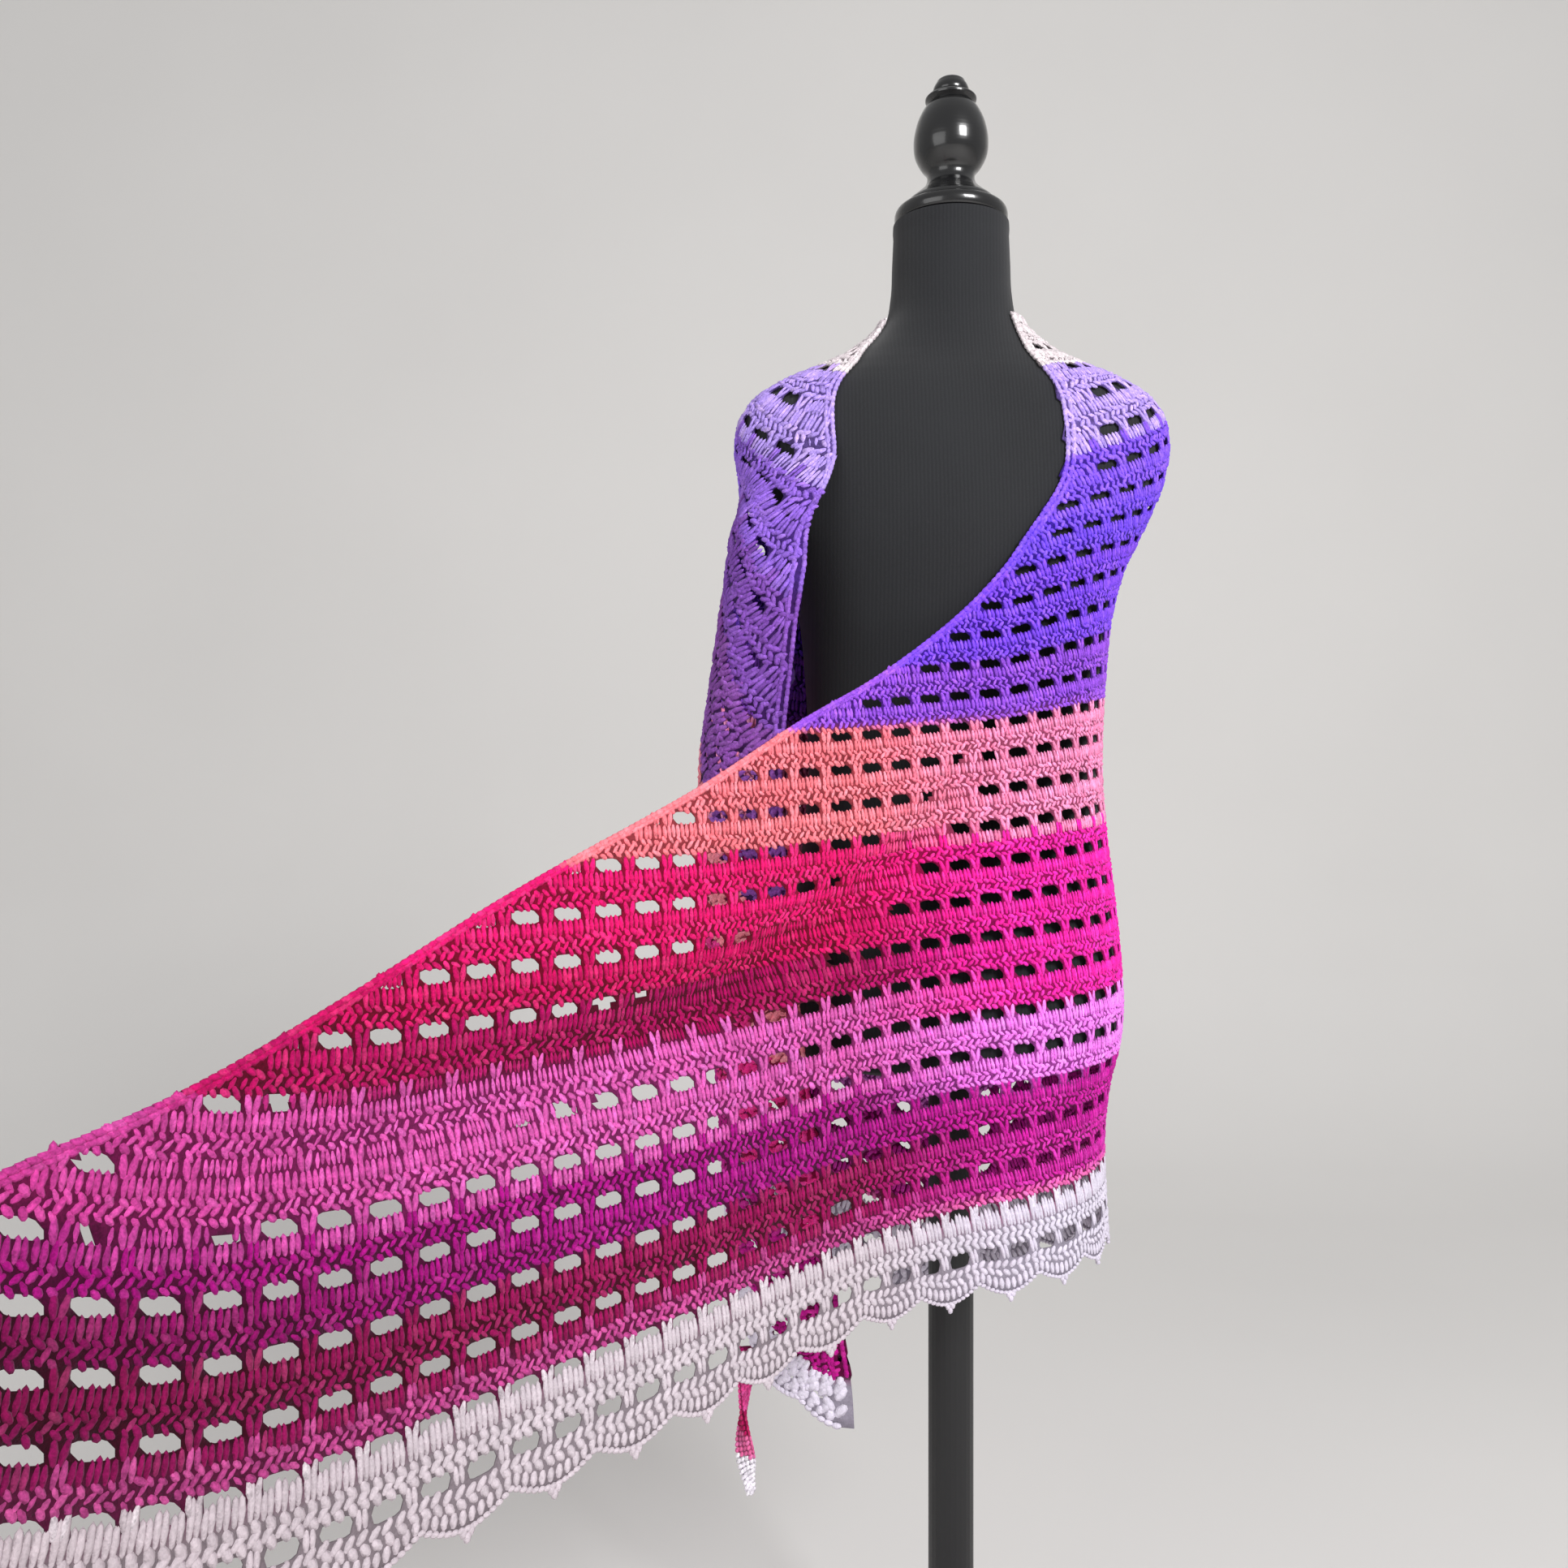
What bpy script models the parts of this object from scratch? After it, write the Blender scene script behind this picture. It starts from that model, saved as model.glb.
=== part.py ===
# A crocheted triangular shawl over a limbless dress form on a round stand.
# Metres, +Z up. The origin is the centre of the underside of the stand's base.
# The form faces -Y. Its left shoulder is at +X.

import math

import bmesh
import bpy
import numpy as np
from mathutils import Vector

# Colour, roughness and metallic value of each material
MATERIALS = {
    "form_jersey": ((0.022, 0.023, 0.021), 0.90, 0.0),
    "black_lacquer": ((0.010, 0.010, 0.011), 0.25, 0.0),
    "black_steel": ((0.015, 0.015, 0.016), 0.45, 0.3),
    "yarn": ((0.72, 0.10, 0.32), 0.85, 0.0),
    "edging_yarn": ((0.86, 0.82, 0.88), 0.85, 0.0),
}
SHARP_ANGLE = math.radians(40.0)

# Stand: radius and height down the outside of the base and its collar
BASE_PROFILE = (
    (0.0, 0.045), (0.030, 0.045), (0.034, 0.041), (0.036, 0.028), (0.048, 0.019), (0.074, 0.016),
    (0.162, 0.013), (0.1676, 0.011), (0.170, 0.007), (0.170, 0.002), (0.168, 0.0), (0.0, 0.0),
)
POLE_RADIUS = 0.020
SEAM = 0.0003
TURNED_STEPS = 26

# Disc that closes the neck, and the finial on it: share of its height, and radius
DISC_RADIUS = 0.050
DISC_HEIGHT = 0.014
DISC_RIM = 0.6
DISC_RIM_STEPS = 6
FINIAL_HEIGHT = 0.118
FINIAL_PROFILE = (
    (1.000, 0.0000), (0.985, 0.0080), (0.945, 0.0135), (0.895, 0.0160), (0.865, 0.0165),
    (0.845, 0.0215), (0.820, 0.0225), (0.800, 0.0195), (0.770, 0.0225), (0.690, 0.0280),
    (0.600, 0.0315), (0.500, 0.0330), (0.400, 0.0315), (0.320, 0.0265), (0.265, 0.0215),
    (0.225, 0.0210), (0.170, 0.0235), (0.100, 0.0320), (0.040, 0.0400), (0.000, 0.0420),
)

# Dress form: one row for each section, from the neck down
FORM_COLUMNS = ("height", "half_width", "front", "back")
FORM_SECTIONS = (
    (1.394, 0.0505, 0.0500, 0.0505),
    (1.360, 0.0520, 0.0505, 0.0530),
    (1.330, 0.0535, 0.0510, 0.0550),
    (1.308, 0.0580, 0.0530, 0.0580),
    (1.290, 0.0710, 0.0570, 0.0620),
    (1.273, 0.0945, 0.0630, 0.0680),
    (1.259, 0.1250, 0.0700, 0.0740),
    (1.247, 0.1530, 0.0770, 0.0800),
    (1.234, 0.1730, 0.0840, 0.0850),
    (1.218, 0.1835, 0.0910, 0.0890),
    (1.198, 0.1865, 0.0980, 0.0920),
    (1.165, 0.1810, 0.1080, 0.0950),
    (1.125, 0.1640, 0.1170, 0.0955),
    (1.085, 0.1450, 0.1190, 0.0930),
    (1.040, 0.1340, 0.1110, 0.0880),
    (1.000, 0.1300, 0.1010, 0.0840),
    (0.950, 0.1270, 0.0930, 0.0820),
    (0.910, 0.1265, 0.0920, 0.0840),
    (0.860, 0.1300, 0.0970, 0.0920),
    (0.800, 0.1375, 0.1050, 0.1020),
    (0.740, 0.1435, 0.1100, 0.1090),
    (0.700, 0.1450, 0.1100, 0.1090),
    (0.672, 0.1420, 0.1060, 0.1050),
)
# The cloth's own line below the form, in the same columns
HANGING_SECTIONS = (
    (0.645, 0.1350, 0.1050, 0.1040),
    (0.600, 0.1290, 0.1060, 0.1040),
    (0.550, 0.1300, 0.1070, 0.1050),
    (0.500, 0.1330, 0.1080, 0.1060),
    (0.420, 0.1340, 0.1090, 0.1070),
    (0.340, 0.1340, 0.1090, 0.1070),
)
FORM_SEGMENTS = 32
FORM_STEP = 0.0145
FORM_LOW_STEP = 0.034
FORM_FINE_LENGTH = 0.26
FORM_BOTTOM = 0.658
FORM_BOTTOM_SHARE = 0.90
# Steps to either side when a direction on a surface is worked out
SMALL_TURN = 0.02
SMALL_LENGTH = 0.004
SMALL_PITCH = 0.2

# Cloth: lengths in metres, places in stitch pitches along a row and in rows down the cloth
WALL = 0.003
CLOTH_GAP = 0.0024
NECK_EDGE = 1.305
ROW = 0.0313
ROWS = 28.0
EDGING_START = 26.35
EDGING_MIDDLE = 27.2
PITCH_TURN = math.radians(11.0)
SIDE_SEAM = 9.0
WING_SEAM = 15.0
WING_FIRST_PITCH = 15.1
WING_TIP = 48.6
SEAM_PITCHES = 0.008
SEAM_ROWS = 0.005
LEAVES_FORM = 16.0
WING_LEAD = (3.0, 1.5, 0.0)
SHOULDER_ROWS = 9
SHOULDER_SHARES = (0.0, 0.5)
LEAST_PITCH_STRIP = 0.12
LEAST_ROW_STRIP = 0.15
SAME_PLACE = 0.01

# Eyelets, bars between them, and the scallops of the edging
BAR = 0.37
EYELET = 0.30
EYELET_LEAN = 0.10
FIRST_EYELET_PITCH = 10
LAST_EYELET_PITCH = 40
FIRST_EYELET_ROW = 11
EYELET_KEEP_OFF = 0.5
SCALLOP = 0.30
SCALLOP_PITCHES = 2.0
EDGE_REACH = 0.18

# Where each row of the left half ends: the shawl's top edge
LEFT_EDGE_COLUMNS = ("row", "along")
LEFT_EDGE = (
    (0.0, 11.8), (1.8, 13.4), (3.7, 14.0), (5.0, 14.0), (7.5, 14.1), (8.5, 14.6),
    (9.8, 15.5), (10.7, 16.6), (11.5, 18.0), (12.2, 19.5), (12.9, 21.2), (13.7, 23.0),
    (14.7, 25.3), (16.2, 28.9), (17.7, 32.2), (19.7, 36.0), (21.4, 39.0), (24.6, 43.6),
    (28.0, 48.6),
)
# Plan of the left wing after it leaves the form
WING_COLUMNS = ("along", "x", "y")
WING_PLAN = (
    (18.0, -0.040, -0.127),
    (20.0, -0.088, -0.152),
    (22.0, -0.138, -0.203),
    (25.3, -0.208, -0.285),
    (29.5, -0.300, -0.393),
    (33.6, -0.382, -0.500),
    (37.7, -0.452, -0.620),
    (41.7, -0.508, -0.745),
    (45.6, -0.553, -0.870),
    (49.0, -0.588, -0.985),
)
# How far the rows of the left half rise or sink along their length
LIFT_COLUMNS = ("along", "lift", "sink_at_neck")
LEFT_LIFT = (
    (0.0, -0.100, 0.000),
    (4.0, -0.040, 0.000),
    (8.0, 0.004, 0.000),
    (12.0, 0.000, 0.000),
    (16.0, -0.012, -0.006),
    (22.0, -0.026, -0.020),
    (30.0, -0.026, -0.026),
    (33.5, -0.022, -0.022),
    (36.5, -0.004, -0.004),
    (39.0, 0.026, 0.026),
    (44.0, 0.098, 0.098),
    (49.0, 0.176, 0.176),
)
# Long trough across the front where the wing is pulled away from the part that hangs
TROUGH_COLUMNS = ("along", "height", "depth", "width")
TROUGH = (
    (15.5, 0.935, 0.000, 0.026),
    (17.4, 0.872, 0.011, 0.026),
    (19.8, 0.812, 0.014, 0.028),
    (22.0, 0.783, 0.015, 0.030),
    (24.5, 0.752, 0.014, 0.030),
    (28.0, 0.729, 0.011, 0.030),
    (33.0, 0.716, 0.006, 0.030),
    (38.0, 0.700, 0.000, 0.030),
)
# Room between the cloth and the form's front, where the cloth spans from bust to belly
LOOSE_COLUMNS = ("height", "front", "back")
LOOSE = (
    (1.394, 0.000, 0.000),
    (1.120, 0.000, 0.000),
    (1.050, 0.005, 0.004),
    (0.960, 0.018, 0.014),
    (0.880, 0.018, 0.012),
    (0.780, 0.006, 0.002),
    (0.700, 0.002, 0.001),
    (0.340, 0.002, 0.001),
)

# The right half: its rows end at a nearly upright edge
RIGHT_EDGE_COLUMNS = ("row", "along")
RIGHT_EDGE = (
    (0.0, 10.0), (1.5, 11.4), (3.0, 12.8), (4.5, 13.2), (6.0, 13.2), (7.5, 13.0), (28.0, 13.0),
)
SIDE_FOLD = 8.2
SLANT_STARTS = 7.5
PANEL_EDGE = 13.0
PANEL_LAST_PITCH = 13.2
# Plan of the hanging panel at each height: outer fold and inner edge
PANEL_COLUMNS = ("height", "fold_x", "edge_x", "edge_y")
PANEL_SECTIONS = (
    (1.240, 0.1880, 0.090, -0.088),
    (1.200, 0.1895, 0.100, -0.098),
    (1.160, 0.1900, 0.118, -0.108),
    (1.100, 0.1945, 0.130, -0.116),
    (1.050, 0.2010, 0.132, -0.119),
    (0.980, 0.2110, 0.133, -0.122),
    (0.920, 0.2190, 0.134, -0.124),
    (0.800, 0.2150, 0.122, -0.126),
    (0.650, 0.2050, 0.108, -0.126),
    (0.500, 0.1950, 0.097, -0.124),
    (0.340, 0.1860, 0.090, -0.121),
)
PANEL_CORNER = 2.8
PANEL_FREE_ABOVE = 1.195
PANEL_FREE_BELOW = 1.105
# How far a row has sunk by the time it reaches the panel's inner edge
SLANT_COLUMNS = ("row", "sink")
PANEL_SLANT = (
    (0.0, 0.000), (3.0, 0.000), (6.0, 0.050), (9.0, 0.115), (13.0, 0.155),
    (19.0, 0.170), (24.0, 0.165), (28.0, 0.112),
)
RIGHT_DIP_COLUMNS = ("along", "dip")
RIGHT_DIP = ((0.0, 0.100), (4.0, 0.040), (8.2, 0.004), (13.0, 0.000))
PANEL_WAVE = 0.006
PANEL_WAVES = 4

# Twisted end of the right wing
TAIL_ALONG = 10.3
TAIL_LENGTH = 0.120
TAIL_WIDTH = 0.020
TAIL_THICKNESS = 0.006
TAIL_TWIST = math.radians(200.0)
TAIL_STEPS = 14
TAIL_DROP = 0.0042
TAIL_SWAY = 0.006
TAIL_END_SHARE = 0.35
TAIL_TAPER = 3.0
TAIL_WAIST = 0.15
TAIL_FLAT = 0.6


def columns(names, table):
    """A table's columns as arrays, by name."""
    values = np.array(table, float)
    return {name: values[:, i] for i, name in enumerate(names)}


def smooth(xs, ys, x):
    """Smooth curve through the points, read at x."""
    xs = np.asarray(xs, float)
    ys = np.asarray(ys, float)
    steps = np.diff(xs)
    slopes = np.diff(ys) / steps
    tangents = np.empty_like(ys)
    tangents[0] = slopes[0]
    tangents[-1] = slopes[-1]
    ahead = steps[1:] / (steps[:-1] + steps[1:])
    tangents[1:-1] = slopes[:-1] * ahead + slopes[1:] * (1 - ahead)
    x = np.clip(x, xs[0], xs[-1])
    i = np.clip(np.searchsorted(xs, x, side="right") - 1, 0, len(steps) - 1)
    t = (x - xs[i]) / steps[i]
    from_start = (1 + 2 * t) * (1 - t) ** 2 * ys[i] + t * (1 - t) ** 2 * steps[i] * tangents[i]
    from_end = t * t * (3 - 2 * t) * ys[i + 1] + t * t * (t - 1) * steps[i] * tangents[i + 1]
    return from_start + from_end


def ease(x, start, end):
    """0 before start, 1 after end, smooth between."""
    t = min(max((x - start) / (end - start), 0.0), 1.0)
    return t * t * (3 - 2 * t)


SECTIONS = columns(FORM_COLUMNS, FORM_SECTIONS + HANGING_SECTIONS)
# Length of the side line, from the top of the neck down to each section
SIDE_LENGTH = np.concatenate(
    [[0.0], np.cumsum(np.hypot(np.diff(SECTIONS["height"]), np.diff(SECTIONS["half_width"])))]
)
FORM_LENGTH = float(SIDE_LENGTH[len(FORM_SECTIONS) - 1])
NECK_LENGTH = float(np.interp(-NECK_EDGE, -SECTIONS["height"], SIDE_LENGTH))
LEFT_EDGE_AT = columns(LEFT_EDGE_COLUMNS, LEFT_EDGE)
WING_AT = columns(WING_COLUMNS, WING_PLAN)
LIFT_AT = columns(LIFT_COLUMNS, LEFT_LIFT)
TROUGH_AT = columns(TROUGH_COLUMNS, TROUGH)
LOOSE_AT = columns(LOOSE_COLUMNS, LOOSE)
RIGHT_EDGE_AT = columns(RIGHT_EDGE_COLUMNS, RIGHT_EDGE)
PANEL_AT = columns(PANEL_COLUMNS, PANEL_SECTIONS)
SLANT_AT = columns(SLANT_COLUMNS, PANEL_SLANT)
DIP_AT = columns(RIGHT_DIP_COLUMNS, RIGHT_DIP)


def section(name, length):
    """One measure of the form, at this length down its side line."""
    return float(smooth(SIDE_LENGTH, SECTIONS[name], length))


def loose(name, height):
    """Room between the form and the cloth at a height."""
    return float(smooth(-LOOSE_AT["height"], LOOSE_AT[name], -height))


def form_point(angle, length, with_loose=False):
    """Point of the form's skin. The angle is 0 at its left side and -90 degrees in front."""
    height = section("height", length)
    half_width = section("half_width", length)
    side = "front" if math.sin(angle) < 0 else "back"
    depth = section(side, length)
    if with_loose:
        depth += loose(side, height)
    return Vector((half_width * math.cos(angle), depth * math.sin(angle), height))


def outward(angle, length, with_loose):
    """Direction away from the skin at a point of it."""
    before = form_point(angle - SMALL_TURN, length, with_loose)
    after = form_point(angle + SMALL_TURN, length, with_loose)
    above = form_point(angle, max(length - SMALL_LENGTH, 0.0), with_loose)
    below = form_point(angle, length + SMALL_LENGTH, with_loose)
    return (below - above).cross(after - before).normalized()


def worn_point(angle, length):
    """Inner side of the cloth where it lies on the form, or hangs in line with it."""
    return form_point(angle, length, True) + outward(angle, length, True) * CLOTH_GAP


def trough_depth(along, height):
    """How far the trough sinks into the cloth here."""
    centre = float(smooth(TROUGH_AT["along"], TROUGH_AT["height"], along))
    depth = float(smooth(TROUGH_AT["along"], TROUGH_AT["depth"], along))
    width = float(smooth(TROUGH_AT["along"], TROUGH_AT["width"], along))
    return depth * math.exp(-(((height - centre) / width) ** 2))


def left_length(along, row):
    """Length down the side line that a stitch of the left half lies at."""
    low = float(smooth(LIFT_AT["along"], LIFT_AT["lift"], along))
    high = float(smooth(LIFT_AT["along"], LIFT_AT["sink_at_neck"], along))
    share = row / ROWS
    return NECK_LENGTH + row * ROW - (high * (1 - share) + low * share)


def left_plan(along, length):
    """Inner side of the left half, before its trough."""
    if along <= LEAVES_FORM:
        return worn_point(math.pi / 2 - along * PITCH_TURN, length)
    before = [LEAVES_FORM - lead for lead in WING_LEAD]
    worn = [worn_point(math.pi / 2 - stop * PITCH_TURN, length) for stop in before]
    stops = np.concatenate([before, WING_AT["along"]])
    x = smooth(stops, np.concatenate([[p.x for p in worn], WING_AT["x"]]), along)
    y = smooth(stops, np.concatenate([[p.y for p in worn], WING_AT["y"]]), along)
    return Vector((float(x), float(y), worn[-1].z))


def left_point(along, row):
    """Inner side of the left half at a stitch of a row."""
    length = left_length(along, row)
    point = left_plan(along, length)
    ahead = left_plan(along + SMALL_PITCH, length) - left_plan(along - SMALL_PITCH, length)
    inward = Vector((ahead.y, -ahead.x, 0.0)).normalized()
    return point + inward * trough_depth(along, point.z)


def right_point(along, row):
    """Inner side of the right half at a stitch of a row."""
    share = row / ROWS
    sunk = ease(along, SLANT_STARTS, PANEL_EDGE) * float(smooth(SLANT_AT["row"], SLANT_AT["sink"], row))
    dip = float(smooth(DIP_AT["along"], DIP_AT["dip"], along)) * share
    length = NECK_LENGTH + row * ROW + sunk + dip
    worn = worn_point(math.pi / 2 + along * PITCH_TURN, length)
    free = 1.0 - ease(worn.z, PANEL_FREE_BELOW, PANEL_FREE_ABOVE)
    if free == 0.0:
        return worn
    at = {name: float(smooth(-PANEL_AT["height"], PANEL_AT[name], -worn.z)) for name in PANEL_COLUMNS[1:]}
    if along <= SIDE_FOLD:
        turn = along / SIDE_FOLD * math.pi / 2
        depth = abs(worn_point(math.pi / 2, length).y)
        hung = Vector((-at["fold_x"] * math.sin(turn), depth * math.cos(turn), worn.z))
    else:
        turn = (along - SIDE_FOLD) / (PANEL_EDGE - SIDE_FOLD) * math.pi / 2
        across = math.cos(turn) ** (2 / PANEL_CORNER) if turn < math.pi / 2 else 0.0
        forward = math.sin(turn) ** (2 / PANEL_CORNER)
        wave = PANEL_WAVE * math.sin(PANEL_WAVES * turn)
        sideways = at["edge_x"] + (at["fold_x"] - at["edge_x"]) * across
        hung = Vector((-sideways, at["edge_y"] * forward - wave, worn.z))
    return worn.lerp(hung, free)


def left_edge(row):
    return float(smooth(LEFT_EDGE_AT["row"], LEFT_EDGE_AT["along"], row))


def right_edge(row):
    return float(smooth(RIGHT_EDGE_AT["row"], RIGHT_EDGE_AT["along"], row))


def new_object(name, mesh, material, collection):
    """Object in the part's collection, smooth but for its sharp edges."""
    obj = bpy.data.objects.new(name, mesh)
    collection.objects.link(obj)
    mesh.materials.append(material)
    mesh.shade_smooth()
    mesh.set_sharp_from_angle(angle=SHARP_ANGLE)
    return obj


def plain_material(name):
    colour, roughness, metallic = MATERIALS[name]
    material = bpy.data.materials.new(name)
    material.use_nodes = True
    shader = material.node_tree.nodes["Principled BSDF"]
    shader.inputs["Base Color"].default_value = (*colour, 1.0)
    shader.inputs["Roughness"].default_value = roughness
    shader.inputs["Metallic"].default_value = metallic
    material.diffuse_color = (*colour, 1.0)
    return material


def turned(name, profile, material, collection):
    """Solid of revolution. The profile runs from the top of the axis down its outer side."""
    mesh = bpy.data.meshes.new(name)
    build = bmesh.new()
    points = [build.verts.new((radius, 0.0, height)) for radius, height in profile]
    for first, second in zip(points, points[1:]):
        build.edges.new((first, second))
    build.to_mesh(mesh)
    build.free()
    obj = new_object(name, mesh, material, collection)
    screw = obj.modifiers.new("Turn", "SCREW")
    screw.steps = TURNED_STEPS
    screw.render_steps = TURNED_STEPS
    screw.use_merge_vertices = True
    screw.merge_threshold = 0.0001
    screw.use_smooth_shade = True
    return obj


def disc_profile(bottom):
    """Outline of the disc that closes the neck, with a rounded rim."""
    rim = DISC_HEIGHT / 2
    middle = bottom + rim
    turns = [math.pi / 2 - math.pi * step / DISC_RIM_STEPS for step in range(DISC_RIM_STEPS + 1)]
    rounded = [(DISC_RADIUS - rim * DISC_RIM * (1 - math.cos(t)), middle + rim * math.sin(t)) for t in turns]
    return [(0.0, bottom + DISC_HEIGHT), *rounded, (0.0, bottom)]


def finial_profile(bottom):
    """Outline of the finial: a cap over a groove, an egg-shaped bulb, and a waist that flares to the disc."""
    outline = [(radius, bottom + share * FINIAL_HEIGHT) for share, radius in FINIAL_PROFILE]
    return [*outline, (0.0, bottom)]


def torso(material, collection):
    """Loft through the form's rings, closed above and below."""
    fine = np.arange(0.0, FORM_FINE_LENGTH, FORM_STEP)
    low_steps = round((FORM_LENGTH - FORM_FINE_LENGTH) / FORM_LOW_STEP)
    lengths = np.concatenate([fine, np.linspace(FORM_FINE_LENGTH, FORM_LENGTH, low_steps + 1)])
    angles = [2 * math.pi * i / FORM_SEGMENTS for i in range(FORM_SEGMENTS)]
    build = bmesh.new()
    rings = [[build.verts.new(form_point(angle, length)) for angle in angles] for length in lengths]
    lowest = [form_point(angle, FORM_LENGTH) for angle in angles]
    drawn_in = [(p.x * FORM_BOTTOM_SHARE, p.y * FORM_BOTTOM_SHARE, FORM_BOTTOM) for p in lowest]
    rings.append([build.verts.new(p) for p in drawn_in])
    for upper, lower in zip(rings, rings[1:]):
        for i in range(FORM_SEGMENTS):
            j = (i + 1) % FORM_SEGMENTS
            build.faces.new((upper[i], lower[i], lower[j], upper[j]))
    build.faces.new(rings[0])
    build.faces.new(list(reversed(rings[-1])))
    mesh = bpy.data.meshes.new("form_torso")
    build.to_mesh(mesh)
    build.free()
    return new_object("form_torso", mesh, material, collection)


def stitch_lines(first, last, with_eyelets):
    """Lines along a stretch: one a pitch, and where eyelets are cut one more at the end of each bar."""
    lines = [first]
    for pitch in range(math.floor(first), math.ceil(last) + 1):
        has_bar = with_eyelets and FIRST_EYELET_PITCH - 1 <= pitch < LAST_EYELET_PITCH
        for share in (0.0, BAR) if has_bar else (0.0,):
            if first + LEAST_PITCH_STRIP < pitch + share < last - LEAST_PITCH_STRIP:
                lines.append(pitch + share)
    return [*lines, last]


def row_lines(first, last, with_eyelets):
    """Lines across the rows. The curved shoulder has one more to a row, and so has each row of eyelets."""
    lines = [first]
    for row in range(math.floor(first), math.ceil(last) + 1):
        shares = (0.0, EYELET) if with_eyelets else (0.0,)
        if row < SHOULDER_ROWS:
            shares = SHOULDER_SHARES
        for share in shares:
            if first + LEAST_ROW_STRIP < row + share < last - LEAST_ROW_STRIP:
                lines.append(row + share)
    return [*lines, last]


def cloth(name, alongs, rows, edge, point, is_eyelet, inside_out, material, collection):
    """Sheet of stitches, given its wall. Each row stops at the shawl's edge."""
    build = bmesh.new()
    made = {}

    def corner(i, j):
        row = rows[j]
        stop = edge(row)
        along = alongs[i]
        near_edge = along > stop - EDGE_REACH and i < len(alongs) - 1
        if i > 0 and (along > stop or near_edge):
            along = stop
        key = (round(along, 5), j)
        if key not in made:
            lean = EYELET_LEAN if abs(row - round(row)) < SAME_PLACE else -EYELET_LEAN
            inner = 0 < i < len(alongs) - 1 and along < stop and 0 < j < len(rows) - 1
            made[key] = build.verts.new(point(along + (lean if inner and is_eyelet else 0.0), row))
        return made[key]

    for j in range(len(rows) - 1):
        for i in range(len(alongs) - 1):
            if is_eyelet and is_eyelet(alongs[i], alongs[i + 1], rows[j], rows[j + 1], edge):
                continue
            ring = []
            for vert in (corner(i, j), corner(i, j + 1), corner(i + 1, j + 1), corner(i + 1, j)):
                if vert not in ring:
                    ring.append(vert)
            if len(ring) > 2:
                build.faces.new(ring if not inside_out else ring[::-1])
    bmesh.ops.delete(build, geom=[v for v in build.verts if not v.link_faces], context="VERTS")
    mesh = bpy.data.meshes.new(name)
    build.to_mesh(mesh)
    build.free()
    obj = new_object(name, mesh, material, collection)
    wall = obj.modifiers.new("Wall", "SOLIDIFY")
    wall.thickness = WALL
    wall.offset = 1.0
    wall.use_even_offset = False
    return obj


def left_eyelet(start, end, top, bottom, edge):
    """Whether a cell of the left half is one of the large eyelets that are cut through."""
    is_gap = abs(end - round(end)) < SAME_PLACE and abs(end - start - (1 - BAR)) < SAME_PLACE
    is_row = abs(top - round(top)) < SAME_PLACE and abs(bottom - top - EYELET) < SAME_PLACE
    in_reach = FIRST_EYELET_PITCH <= start and end <= LAST_EYELET_PITCH and top >= FIRST_EYELET_ROW
    return is_gap and is_row and in_reach and end < edge(top) - EYELET_KEEP_OFF


def scalloped(point, stretch):
    """The same sheet with its last row drawn out into scallops."""

    def moved(along, row):
        share = max(row - EDGING_MIDDLE, 0.0) / (ROWS - EDGING_MIDDLE)
        wave = abs(math.sin(math.pi * along / SCALLOP_PITCHES))
        return point(along, row + stretch * share * wave)

    return moved


def tail(material, collection):
    """Narrow end of the right wing: a flat strip that twists as it hangs from the edging."""
    top = right_point(TAIL_ALONG, ROWS + SCALLOP) + Vector((0.0, 0.0, -TAIL_DROP))
    build = bmesh.new()
    rings = []
    for step in range(TAIL_STEPS + 1):
        share = step / TAIL_STEPS
        turn = TAIL_TWIST * share
        taper = min(1.0, TAIL_END_SHARE + TAIL_TAPER * (1 - share))
        waist = 1.0 - TAIL_WAIST + TAIL_WAIST * math.cos(3 * turn)
        width = TAIL_WIDTH / 2 * taper * waist
        thick = TAIL_THICKNESS / 2
        centre = top + Vector((-TAIL_SWAY * math.sin(math.pi * share), 0.0, -TAIL_LENGTH * share))
        across = Vector((math.cos(turn), math.sin(turn), 0.0))
        through = Vector((-math.sin(turn), math.cos(turn), 0.0))
        corners = ((width, 0.0), (width * TAIL_FLAT, thick), (-width * TAIL_FLAT, thick))
        half = [centre + across * a + through * b for a, b in corners]
        other = [centre - across * a - through * b for a, b in corners]
        rings.append([build.verts.new(p) for p in half + other])
    for upper, lower in zip(rings, rings[1:]):
        for i in range(len(upper)):
            j = (i + 1) % len(upper)
            build.faces.new((upper[i], lower[i], lower[j], upper[j]))
    build.faces.new(rings[0])
    build.faces.new(list(reversed(rings[-1])))
    mesh = bpy.data.meshes.new("shawl_tail")
    build.to_mesh(mesh)
    build.free()
    return new_object("shawl_tail", mesh, material, collection)


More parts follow.
